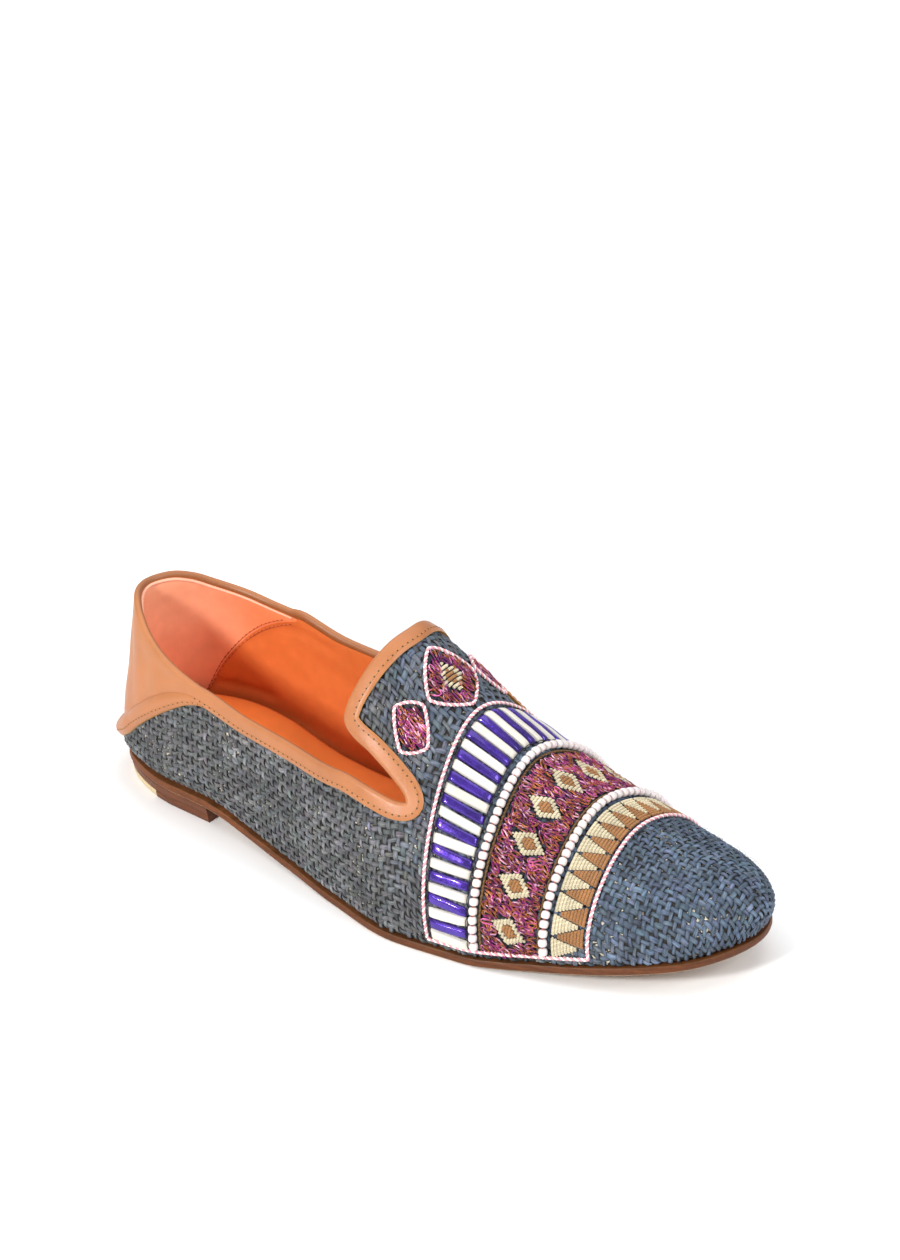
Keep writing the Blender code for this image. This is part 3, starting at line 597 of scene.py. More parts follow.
def arch_x(ridge_x, q):
    """An arch over the vamp: x on the ridge, and how far it runs forward down each side."""
    return ridge_x + ARCH_SLOPE * (np.sqrt(np.asarray(q) ** 2 + ARCH_ROUND**2) - ARCH_ROUND)


def arch_reach(ridge_x, side):
    """The girth at which an arch comes down to the margin above the sole."""
    q = 40.0
    for _ in range(30):
        q = float(girth_limit(arch_x(ridge_x, q), side)) - SOLE_MARGIN
    return q


def band_place(band, share, row):
    """(x, q) in a band: share from -1 to 1 runs over the vamp, row from 0 to 1 across the band."""
    share, row = alike(share, row)
    rows = np.linspace(0, 1, 5)
    ridges = band[0] + rows * (band[1] - band[0])
    reach = {side: np.interp(row, rows, [arch_reach(ridge, side) for ridge in ridges]) for side in SIDES}
    q = share * np.where(share < 0, reach[-1], reach[1])
    return arch_x(band[0] + row * (band[1] - band[0]), q), q


# Edges of the upper


def through(rows, per_span, beyond):
    """Points along a smooth curve through the rows, with each row on it. The end heads for a point beyond."""
    rows = np.asarray(rows, float)
    padded = np.vstack([2 * rows[0] - rows[1], rows, beyond])
    points = []
    for before, start, end, after in zip(padded, padded[1:], padded[2:], padded[3:]):
        for f in np.arange(per_span) / per_span:
            pull = (2 * before - 5 * start + 4 * end - after) * f**2
            twist = (3 * start - before - 3 * end + after) * f**3
            points.append(0.5 * (2 * start + (end - before) * f + pull + twist))
    return np.array([*points, rows[-1]])


def topline(side):
    return monotone(TOPLINE, 1 if side < 0 else 2)


def heel_seam(side):
    return monotone(HEEL_SEAM, 1 if side < 0 else 2)


def collar_edge(side, start=BINDING_START_X):
    """The collar's edge on one side: from the end of the heel panel, round the slit, to the tongue's top."""
    xs = np.array([start, *(row[0] for row in TOPLINE if row[0] > BINDING_START_X + 1.0)])
    rows = list(zip(xs, topline(side)(xs)))
    rows += [SLIT_END, *TONGUE_SIDE, TONGUE_CORNER, *TONGUE_BACK]
    mirrored = (TONGUE_BACK[-2][0], 2.0 - TONGUE_BACK[-2][1])
    return through(rows, EDGE_POINTS, mirrored)


def collar_parts(side):
    """The collar's edge parted into the quarter, the tongue's side and the tongue's back."""
    edge = collar_edge(side)
    back_count = EDGE_POINTS * len(TONGUE_BACK)
    side_count = EDGE_POINTS * (len(TONGUE_SIDE) + 1)
    slit = len(edge) - 1 - back_count - side_count
    return edge[: slit + 1], edge[slit : slit + side_count + 1], edge[-back_count - 1 :]


def heel_stations(tip=HEEL_PANEL_TIP_X):
    return x_at(np.linspace(0, float(u_at(tip)), HEEL_STATIONS))


def toe_stations():
    return x_at(np.linspace(float(u_at(SLIT_END[0])), 1, TOE_STATIONS))


def lower_patch(side):
    """From the sole's edge up to the collar, and ahead of the slit up to a line at the slit's height."""
    heel = heel_stations()
    quarter, _, _ = collar_parts(side)
    toe = toe_stations()[1:]
    xs = np.concatenate([heel, quarter[:, 0], toe])
    tops = np.concatenate([topline(side)(heel), quarter[:, 1], np.full(len(toe), SLIT_END[1])])
    f = np.linspace(0, 1, LOWER_ROWS + 1) ** 1.4
    return np.repeat(xs[:, None], len(f), 1), tops[:, None] * f[None]


def upper_patch():
    """The tongue and the top of the vamp, blended in from its four edges."""
    _, tongue_side, back = collar_parts(-1)
    toe_x = toe_stations()[1:]
    bottom = np.vstack([tongue_side[::-1], np.stack([toe_x, np.full(len(toe_x), SLIT_END[1])], axis=1)])
    count = len(bottom)
    s = np.linspace(0, 1, count)[:, None, None]
    v = np.linspace(0, 1, len(back))
    share = (bottom[:, 0] - bottom[0, 0]) / (LAST_LENGTH - bottom[0, 0])
    top = np.stack([back[-1, 0] + share * (LAST_LENGTH - back[-1, 0]), np.ones(count)], axis=1)
    toe = bottom[-1] + v[:, None] * (top[-1] - bottom[-1])
    v = v[None, :, None]
    blend = (1 - v) * bottom[:, None] + v * top[:, None] + (1 - s) * back[None] + s * toe[None]
    corners = (1 - v) * ((1 - s) * bottom[0] + s * bottom[-1]) + v * ((1 - s) * top[0] + s * top[-1])
    place = blend - corners
    return place[..., 0], np.minimum(place[..., 1], 1.0)


def opening_outline(side):
    """The outline of the foot's opening in (x, t), closed well above the ridge."""
    heel = np.linspace(-1.0, BINDING_START_X, 30)[:-1]
    rim = np.stack([heel, topline(side)(heel)], axis=1)
    return np.vstack([rim, collar_edge(side), [(TONGUE_BACK[-1][0], 1.5), (-1.0, 1.5)]])


def inside(outline, x, t):
    """Whether places lie inside an outline in (x, t)."""
    found = np.zeros(np.shape(x), bool)
    for (ax, at), (bx, bt) in zip(outline, np.roll(outline, -1, axis=0)):
        crosses = (at > t) != (bt > t)
        height = bt - at if bt != at else 1e-9
        found ^= crosses & (x < (bx - ax) * (t - at) / height + ax)
    return found


def walked(x, t, side, direction, distance, steps=6):
    """The places reached from (x, t) by walking that far over the last in a tangent direction."""
    x, t = np.array(x, float), np.array(t, float)
    small_x, small_t = 0.05, 0.002
    for _ in range(steps):
        here = last_point(x, t, side)
        by_x = (last_point(x + small_x, t, side) - here) / small_x
        by_t = (here - last_point(x, t - small_t, side)) / small_t
        for i in range(len(x)):
            basis = np.stack([by_x[i], by_t[i]], axis=1)
            move = np.linalg.lstsq(basis, direction[i] * distance / steps, rcond=None)[0]
            x[i] = max(x[i] + move[0], 0.0)
            t[i] = min(t[i] + move[1], 1.0)
    return x, t


def edge_frame(x, t, side):
    """At each place on an edge: the point, the normal, and the way out of the material."""
    point = last_point(x, t, side)
    normal = last_normal(x, t, side)
    along = np.gradient(point, axis=0)
    along[-1] = (0.0, -side, 0.0) if t[-1] > 0.999 else along[-1]
    out = unit(-side * np.cross(normal, unit(along)))
    return point, normal, out


def heel_band_edges(side):
    """The lower and the upper edge of the band that covers the seam, up to where the binding laps it."""
    x = heel_stations(HEEL_PANEL_TIP_X + LAP)
    t = heel_seam(side)(x)
    along = np.gradient(last_point(x, t, side), axis=0)
    along[0] = (0.0, side, 0.0)
    out = -side * np.cross(last_normal(x, t, side), unit(along))
    taper = np.clip((x - HEEL_BAND_TAPER_X) / (x[-1] - HEEL_BAND_TAPER_X), 0, 1)[:, None] ** 2
    width = HEEL_BAND_WIDTH + taper * (HEEL_BAND_END_WIDTH - HEEL_BAND_WIDTH)
    high_x, high_t = walked(x, t, side, out * width, 1.0)
    high_x[0] = 0.0
    high_t[0] = high_t[1]
    return (x, t), (high_x, high_t)


def feather_outline():
    """The sole's edge line seen from above, all the way round, counted from the toe by the lateral side."""
    xs = x_at(np.linspace(0, 1, SOLE_STATIONS))
    lateral = last_point(xs, 0.0, -1)[::-1]
    medial = last_point(xs, 0.0, 1)[1:-1]
    return np.concatenate([lateral, medial])[:, :2]


def grown(outline, distance):
    """An outline moved outwards by a distance, or inwards where it is negative."""
    along = unit(np.roll(outline, -1, axis=0) - np.roll(outline, 1, axis=0))
    return outline + distance * np.stack([-along[:, 1], along[:, 0]], axis=1)


def sole_outline(extra):
    """The sole's outline, which stands out further round the heel, and an extra distance all round."""
    outline = feather_outline()
    return grown(outline, SOLE_EDGE + HEEL_SOLE_EDGE * (1 - smooth(outline[:, :1], *TUCK_FADE)) + extra)


# Meshes


def grid_quads(columns, rows):
    """The quads of a grid whose points are stored column by column."""
    corner = (np.arange(columns - 1)[:, None] * rows + np.arange(rows - 1)[None]).ravel()
    return np.stack([corner, corner + rows, corner + rows + 1, corner + 1], axis=1)


def ring_quads(rings, corners):
    """The quads of closed rings of points, one ring after another."""
    ring = np.arange(rings - 1)[:, None] * corners
    here = np.arange(corners)[None]
    after = (here + 1) % corners
    quads = np.stack([ring + here, ring + corners + here, ring + corners + after, ring + after], axis=-1)
    return quads.reshape(-1, 4)


def ring_angles(sides):
    return np.arange(sides) * 2 * math.pi / sides


def repeated(quads, count, points_each):
    """The quads of a small mesh repeated for many copies of it."""
    return (np.arange(count)[:, None, None] * points_each + quads[None]).reshape(-1, 4)


class Batch:
    """Small meshes gathered into one: points, quads, tints and thread coordinates."""

    def __init__(self):
        self.points, self.quads, self.tints, self.threads, self.count = [], [], [], [], 0

    def add(self, points, quads, tint, thread=None):
        points = np.asarray(points, float).reshape(-1, 3)
        self.points.append(points)
        self.quads.append(np.asarray(quads) + self.count)
        self.tints.append(np.broadcast_to(np.asarray(tint, float), (len(points), 3)))
        self.threads.append(np.zeros((len(points), 2)) if thread is None else thread.reshape(-1, 2))
        self.count += len(points)

    def add_tubes(self, paths, ups, radius, sides, tint):
        points, quads, thread = tubes(paths, ups, radius, sides)
        self.add(points, quads, tint, thread)

    def piece(self, name, material, slot, replaces=()):
        points, quads = np.vstack(self.points), np.vstack(self.quads)
        looks = {"tint": np.vstack(self.tints), "thread": np.vstack(self.threads)}
        add_piece(name, points, quads, material, slot, replaces, **looks)


def linked(name, data):
    """A new object in the scene."""
    thing = bpy.data.objects.new(name, data)
    bpy.context.scene.collection.objects.link(thing)
    return thing


def add_piece(
    name, points, quads, material, slot, replaces=(), tint=None, thread=None, values=None, sharp=None
):
    """One piece of the shoe, in metres in the shared frame, riding on its one body."""
    mesh = bpy.data.meshes.new(name)
    points = np.asarray(points, float).reshape(-1, 3)
    placed = (points - (CENTRE_X, CENTRE_Y, 0.0)) * MM
    if isinstance(quads, np.ndarray):
        mesh.vertices.add(len(placed))
        mesh.vertices.foreach_set("co", placed.astype(np.float32).ravel())
        mesh.loops.add(quads.size)
        mesh.loops.foreach_set("vertex_index", quads.astype(np.int32).ravel())
        mesh.polygons.add(len(quads))
        mesh.polygons.foreach_set("loop_start", np.arange(0, quads.size, 4, dtype=np.int32))
        mesh.update(calc_edges=True)
    else:
        mesh.from_pydata(placed.tolist(), [], quads)
    mesh.shade_smooth()
    if sharp is not None:
        mesh.set_sharp_from_angle(angle=math.radians(sharp))
    if tint is not None:
        colours = np.ones((len(points), 4), np.float32)
        colours[:, :3] = tint
        mesh.color_attributes.new("tint", "FLOAT_COLOR", "POINT").data.foreach_set("color", colours.ravel())
    if thread is not None:
        corners = np.zeros(len(mesh.loops), np.int32)
        mesh.loops.foreach_get("vertex_index", corners)
        layer = mesh.uv_layers.new(name="thread")
        layer.data.foreach_set("uv", thread[corners].astype(np.float32).ravel())
    for key, numbers in (values or {}).items():
        attribute = mesh.attributes.new(key, "FLOAT", "POINT")
        attribute.data.foreach_set("value", np.asarray(numbers, np.float32).ravel())
    mesh.materials.append(material)
    piece = linked(name, mesh)
    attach(piece, "root")
    if replaces:
        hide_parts(*replaces)


def welded(points, quads):
    """Points that fall together made one, and the faces without repeated corners, with the kept indices."""
    _, first, index = np.unique(np.round(points, 3), axis=0, return_index=True, return_inverse=True)
    index = index.reshape(-1)
    faces = [list(dict.fromkeys(index[quad].tolist())) for quad in quads]
    return points[first], [face for face in faces if len(face) > 2], first


def path_axes(path, ups):
    """Unit vectors ahead, across and up along a path, or along each of many paths."""
    ahead = unit(np.gradient(path, axis=-2))
    across = unit(np.cross(ahead, ups))
    return ahead, across, np.cross(across, ahead)


def tubes(paths, ups, radius, sides):
    """Round threads along many paths of equal length: points, quads and thread coordinates."""
    count, length = paths.shape[:2]
    _, across, up = path_axes(paths, ups)
    angle = ring_angles(sides)
    ring = np.cos(angle)[:, None] * up[:, :, None] + np.sin(angle)[:, None] * across[:, :, None]
    points = paths[:, :, None] + np.broadcast_to(radius, (count, length))[..., None, None] * ring
    thread = np.stack(np.broadcast_arrays(lengths(paths)[..., None], angle[None, None]), axis=-1)
    quads = repeated(ring_quads(length, sides), count, length * sides)
    return points.reshape(-1, 3), quads, thread.reshape(-1, 2)


def resampled(path, step, *others):
    """A path at equal steps, with other values carried along. The step is fitted to the length."""
    run = lengths(path)
    count = max(int(round(run[-1] / step)), 2)
    at = np.linspace(0, run[-1], count + 1)
    return [np.stack([np.interp(at, run, column) for column in v.T], axis=1) for v in (path, *others)]


def twisted(batch, path, ups, ply_radius, strand_radius, lay, tints, sides=5, per_turn=7):
    """A cord of two strands laid round each other along a path."""
    path, ups = resampled(path, lay / per_turn, ups)
    _, across, up = path_axes(path, ups)
    phase = np.arange(len(path)) * 2 * math.pi / per_turn
    radius = np.full((1, len(path)), strand_radius)
    radius[0, [0, -1]] *= CORD_END
    for strand, tint in enumerate(tints):
        angle = (phase + strand * math.pi)[:, None]
        line = path + ply_radius * (np.cos(angle) * up + np.sin(angle) * across)
        batch.add_tubes(line[None], up[None], radius, sides, tint)


def slab(grid, outer, inner, normals):
    """A closed sheet of leather: a ring round each column of a grid, with its two ends closed."""
    columns, rows = grid.shape[:2]
    ring = np.concatenate([grid + outer * normals, (grid + inner * normals)[:, ::-1]], axis=1)
    quads = ring_quads(columns, 2 * rows)
    k = np.arange(rows - 1)
    cap = np.stack([k, k + 1, 2 * rows - 2 - k, 2 * rows - 1 - k], axis=1)
    end = cap[:, ::-1] + (columns - 1) * 2 * rows
    return ring.reshape(-1, 3), np.vstack([quads, cap, end])


def grid_normals(grid):
    return unit(np.cross(np.gradient(grid, axis=0), np.gradient(grid, axis=1)))


def joined_at_heel(lateral, medial):
    return np.concatenate([lateral[::-1], medial[1:]])


def joined_at_ridge(lateral, medial):
    return np.concatenate([lateral, medial[-2::-1]])


def between(low, high, share):
    return low + share * (high - low)


# Materials


class Shader:
    """A material made of nodes around one Principled shader."""

    def __init__(self, name, **sockets):
        self.material = bpy.data.materials.new(name)
        self.material.use_nodes = True
        self.tree = self.material.node_tree
        self.surface = self.tree.nodes["Principled BSDF"]
        for socket, value in sockets.items():
            self.surface.inputs[socket.replace("_", " ")].default_value = value

    def node(self, kind, inputs=None, **settings):
        node = self.tree.nodes.new("ShaderNode" + kind)
        for key, value in settings.items():
            setattr(node, key, value)
        for key, value in (inputs or {}).items():
            if isinstance(value, bpy.types.NodeSocket):
                self.tree.links.new(value, node.inputs[key])
            else:
                node.inputs[key].default_value = value
        return node

    def set(self, socket, value):
        self.tree.links.new(value, self.surface.inputs[socket])

    def place(self):
        """Coordinates on the object, in metres."""
        return self.node("TexCoord").outputs["Object"]

    def mapped(self, vector, scale):
        return self.node("Mapping", {"Vector": vector, "Scale": scale}).outputs["Vector"]

    def threads(self, along, across):
        """Coordinates along and across a thread, in millimetres, scaled."""
        return self.mapped(self.node("UVMap", uv_map="thread").outputs["UV"], (along, across, 1.0))

    def value(self, name, output="Fac"):
        return self.node("Attribute", attribute_name=name).outputs[output]

    def tint(self):
        return self.value("tint", "Color")

    def noise(self, vector, scale, detail=3.0, roughness=0.55):
        inputs = {"Vector": vector, "Scale": scale, "Detail": detail, "Roughness": roughness}
        return self.node("TexNoise", inputs).outputs["Fac"]

    def ranged(self, value, low, high, to_low, to_high):
        inputs = {"Value": value, "From Min": low, "From Max": high, "To Min": to_low, "To Max": to_high}
        return self.node("MapRange", inputs).outputs["Result"]

    def grey(self, value):
        return self.node("CombineColor", {"Red": value, "Green": value, "Blue": value}).outputs["Color"]

    def mixed(self, factor, a, b, blend="MIX"):
        inputs = {0: factor, 6: a, 7: b}
        return self.node("Mix", inputs, data_type="RGBA", blend_type=blend).outputs[2]

    def sum(self, a, b, share):
        scaled = self.node("Math", {0: b, 1: share}, operation="MULTIPLY").outputs[0]
        return self.node("Math", {0: a, 1: scaled}, operation="ADD").outputs[0]

    def paint(self, colour, value, low, high, dark, light):
        """The base colour, from dark to light as a varying value goes from low to high."""
        shade = self.grey(self.ranged(value, low, high, dark, light))
        self.set("Base Color", self.mixed(1.0, colour, shade, "MULTIPLY"))

    def polish(self, noise, low, high):
        """A roughness that varies with a noise."""
        self.set("Roughness", self.ranged(noise, *NOISE_RANGE, low, high))

    def bump(self, height, strength, distance_mm):
        inputs = {"Height": height, "Strength": strength, "Distance": distance_mm * MM}
        self.set("Normal", self.node("Bump", inputs).outputs["Normal"])


def rgba(colour):
    return (*colour, 1.0)


def fibre_material(name, contrast, along, across, relief, **sockets):
    """Threads, yarns and raffia: a tint broken by streaks that run along the strand."""
    shader = Shader(name, **sockets)
    streak = shader.noise(shader.threads(along, across), 1.0, 3.0, 0.6)
    patch = shader.noise(shader.place(), 140.0, 2.0)
    shader.paint(shader.tint(), shader.sum(streak, patch, 0.5), 0.45, 1.05, 1 - contrast, 1 + contrast)
    shader.bump(streak, 0.7, relief)
    return shader.material


def backing_material():
    """The cloth behind the weave, painted near-black for the shade in the gaps between strands, with pale
    specks where its own threads show.
    """
    shader = Shader("weave_backing", Roughness=0.9)
    place = shader.place()
    speck = shader.noise(place, 900.0, 1.0)
    area = shader.noise(place, 70.0, 1.0)
    mask = shader.ranged(shader.sum(speck, area, 0.9), *SPECK_RANGE, 0.0, 1.0)
    colour = shader.mixed(mask, rgba(BACKING_PAINTED_SHADE), rgba(BACKING_SPECK))
    shader.paint(colour, shader.noise(place, 2500.0), *NOISE_RANGE, 0.6, 1.4)
    shader.bump(speck, 0.4, 0.2)
    return shader.material


def leather_material(name, depth, grain_scale, relief, roughness, gloss):
    """Smooth dyed leather: soft mottling, fine pores, faint wrinkles and an uneven polish."""
    shader = Shader(name, Specular_IOR_Level=gloss)
    place = shader.place()
    broad = shader.noise(place, 22.0, 3.0)
    mottle = shader.noise(place, 160.0, 4.0)
    shader.paint(shader.tint(), shader.sum(broad, mottle, 0.6), 0.5, 1.1, 1 - depth, 1 + depth)
    shader.polish(mottle, roughness - 0.07, roughness + 0.09)
    wrinkle = shader.noise(place, 420.0, 4.0, 0.65)
    pores = shader.node("TexVoronoi", {"Vector": place, "Scale": grain_scale}, feature="SMOOTH_F1")
    shader.bump(shader.sum(wrinkle, pores.outputs["Distance"], 0.7), 0.35, relief)
    return shader.material


def lining_material():
    """The orange lining, with the paler grip round the heel beyond its seam, warmer toward the seam."""
    shader = Shader("lining_leather", Specular_IOR_Level=0.4)
    place = shader.place()
    mask = shader.ranged(shader.value("grip"), -GRIP_BLEND, GRIP_BLEND, 0.0, 1.0)
    grip = shader.mixed(shader.value("forward"), rgba(GRIP_PALE), rgba(GRIP_WARM))
    colour = shader.mixed(mask, rgba(LINING_ORANGE), grip)
    broad = shader.noise(place, 26.0, 3.0)
    mottle = shader.noise(place, 230.0, 4.0)
    shader.paint(colour, shader.sum(broad, mottle, 0.6), 0.5, 1.1, 0.88, 1.1)
    shader.polish(mottle, 0.42, 0.58)
    crease = shader.noise(place, 75.0, 3.0, 0.6)
    pores = shader.noise(place, 1500.0, 2.0)
    shader.bump(shader.sum(crease, pores, 0.25), 0.35, 0.5)
    return shader.material


def sole_material():
    """Burnished leather edge: layered streaks along the sole, waxed unevenly."""
    shader = Shader("sole_leather", Specular_IOR_Level=0.25)
    place = shader.place()
    layers = shader.noise(shader.mapped(place, (60.0, 60.0, 1400.0)), 1.0, 3.0, 0.6)
    scuff = shader.noise(place, 480.0, 4.0, 0.65)
    both = shader.sum(layers, scuff, 0.8)
    shader.paint(shader.tint(), both, 0.6, 1.2, 0.62, 1.4)
    shader.polish(scuff, 0.38, 0.66)
    shader.bump(both, 0.4, 0.25)
    return shader.material


def foil_material():
    """Metallic purple leather: a glossy foil over fine crackle."""
    shader = Shader("purple_foil", Metallic=0.7, Coat_Weight=0.6, Coat_Roughness=0.08)
    place = shader.place()
    crackle = shader.noise(place, 900.0, 4.0, 0.6)
    broad = shader.noise(place, 110.0, 2.0)
    shader.paint(shader.tint(), shader.sum(broad, crackle, 0.4), 0.45, 0.95, 0.6, 1.45)
    shader.polish(crackle, 0.16, 0.36)
    shader.bump(shader.sum(broad, crackle, 0.35), 0.4, 0.4)
    return shader.material


def bead_material():
    """Opaque glass beads, milky with a hint of pink."""
    coat = {"Coat_Weight": 0.4, "Coat_Roughness": 0.06}
    shader = Shader("glass_beads", Roughness=0.16, Specular_IOR_Level=0.5, **coat)
    cloud = shader.noise(shader.place(), 320.0, 2.0)
    shader.paint(shader.tint(), cloud, *NOISE_RANGE, 0.93, 1.04)
    shader.bump(cloud, 0.15, 0.1)
    return shader.material


def floor_material():
    """A plain pale studio floor."""
    shader = Shader("studio_floor", Roughness=0.7, Specular_IOR_Level=0.2)
    cloud = shader.noise(shader.place(), 3.0, 2.0)
    shader.set("Base Color", shader.grey(shader.ranged(cloud, *NOISE_RANGE, 0.90, 0.92)))
    return shader.material


# Pieces: the upper


def distance_to_line(x, t, line):
    """How far places are from a line of (x, t), in millimetres as on the wall by the heel."""
    place = np.stack([x, CREASE_T_SCALE * t], axis=-1)
    corners = np.array(line) * (1.0, CREASE_T_SCALE)
    nearest = np.full(x.shape, np.inf)
    for start, end in zip(corners, corners[1:]):
        step = end - start
        share = np.clip((place - start) @ step / max(step @ step, 1e-9), 0, 1)
        nearest = np.minimum(nearest, np.linalg.norm(place - start - share[..., None] * step, axis=-1))
    return nearest


def lining_depth(x, t, side):
    """How far inside the upper's face the lining lies: tucked in at the rim, with soft creases lower down."""
    rim = distance_to_line(x, t, opening_outline(side))
    depth = -WALL + LINING_TUCK * np.exp(-((rim / LINING_TUCK_WIDTH) ** 2))
    for crease_side, line, width, deep in LINING_CREASES:
        if crease_side == side:
            depth = depth + deep * np.exp(-((distance_to_line(x, t, line) / width) ** 2))
    return depth


def upper_sheets(offset):
    """The four patches of the upper as one sheet, offset by a function of (x, t, side), and each (x, t)."""
    patches = [(*lower_patch(side), side) for side in SIDES] + [(*upper_patch(), side) for side in SIDES]
    points, quads, places, first = [], [], [], 0
    for x, t, side in patches:
        points.append(on_last(x, t, side, offset(x, t, side))[0].reshape(-1, 3))
        turned = grid_quads(*x.shape)
        quads.append((turned if side < 0 else turned[:, ::-1]) + first)
        places.append(np.stack([x.ravel(), t.ravel()], axis=1))
        first += x.size
    points, faces, kept = welded(np.vstack(points), np.vstack(quads))
    return points, faces, np.vstack(places)[kept]


def build_backing(material):
    points, faces, _ = upper_sheets(lambda x, t, side: np.full(x.shape, BACKING_DEPTH))
    add_piece("upper_backing", points, faces, material, "woven_raffia")


def build_lining(material):
    points, faces, places = upper_sheets(lining_depth)
    x, t = places.T
    grip = np.where(x < GRIP_SEAM[-1][0], (t - GRIP_T(x)) * GRIP_SHARPNESS, NO_GRIP)
    values = {"grip": grip, "forward": smooth(x, *GRIP_WARM_X)}
    faces = [face[::-1] for face in faces]
    add_piece("upper_lining", points, faces, material, "lining_leather", values=values)


def build_lining_edge(material):
    """The folded edge of the lining, which shows as a pale line under the rolled rim of the heel."""
    halves = []
    for side in SIDES:
        x = heel_stations()
        point, normal, out = edge_frame(x, topline(side)(x), side)
        halves.append((point - LINING_EDGE_DEPTH * normal - LINING_EDGE_DROP * out, -normal))
    path, ups = (joined_at_heel(*pair) for pair in zip(*halves))
    radius = LINING_EDGE_RADIUS * np.sin(np.linspace(0.12, math.pi - 0.12, len(path))) ** 0.3
    batch = Batch()
    batch.add_tubes(path[None], ups[None], radius[None], 8, LINING_EDGE)
    batch.piece("lining_edge_leather", material, "lining_leather")


def weave_lengths():
    """The length along the upper at each x, so that weft threads keep their pitch round the toe and heel."""
    xs = x_at(np.linspace(0, 1, 600))

    def steps(t, side):
        return np.linalg.norm(np.diff(last_point(xs, t, side), axis=0), axis=1)

    wall = np.mean([steps(WEAVE_LINE_T, side) for side in SIDES], axis=0)
    middle = (xs[1:] + xs[:-1]) / 2
    run = np.cumsum(np.maximum(wall, np.where(middle > WEAVE_RIDGE_X, steps(1.0, -1), 0.0)))
    return xs, np.concatenate([[0.0], run])


def weave_girth(warp, x, side):
    """The girth of a warp thread at x: it keeps to the ridge on the vamp and to the sole on the quarters."""
    quarter = 1 - smooth(x, *WEAVE_TURN)
    return warp + quarter * (girth_limit(x, side) - girth_limit(WEAVE_REFERENCE_X, side))


def under_stitches(x, q):
    """Whether a place on the vamp lies under the chain stitches."""
    covered = (x > arch_x(CHAIN_BAND[0], q)) & (x < arch_x(CHAIN_BAND[1], q))
    for _, *lozenge in LOZENGES:
        covered |= in_lozenge(x, q, lozenge, 0.0, 1 / LOZENGE_BLUNT)
    return covered


def raffia_tint(x, t, q, strand, rng):
    """The tint of each crossing: bluer toward the toe, uneven by strand and patch, with painted shade under
    the stitches.
    """
    toward_toe = x + BLUE_SLANT * t + rng.normal(0, 14.0, len(x))
    blue = smooth(toward_toe, *BLUE_RANGE)[:, None]
    tint = (1 - blue) * np.array(RAFFIA_GREY) + blue * np.array(RAFFIA_BLUE)
    patch = 0.12 * np.sin(x / 9.0 + 2.0 * np.sin(t * 14.0))
    tint = tint * (strand * np.exp(rng.normal(0, 0.15, len(x)) + patch))[:, None]
    tint = tint * (1 + rng.normal(0, 0.04, (len(x), 3)))
    return tint * np.where(under_stitches(x, q), PAINTED_SHADE_UNDER_STITCHES, 1.0)[:, None]


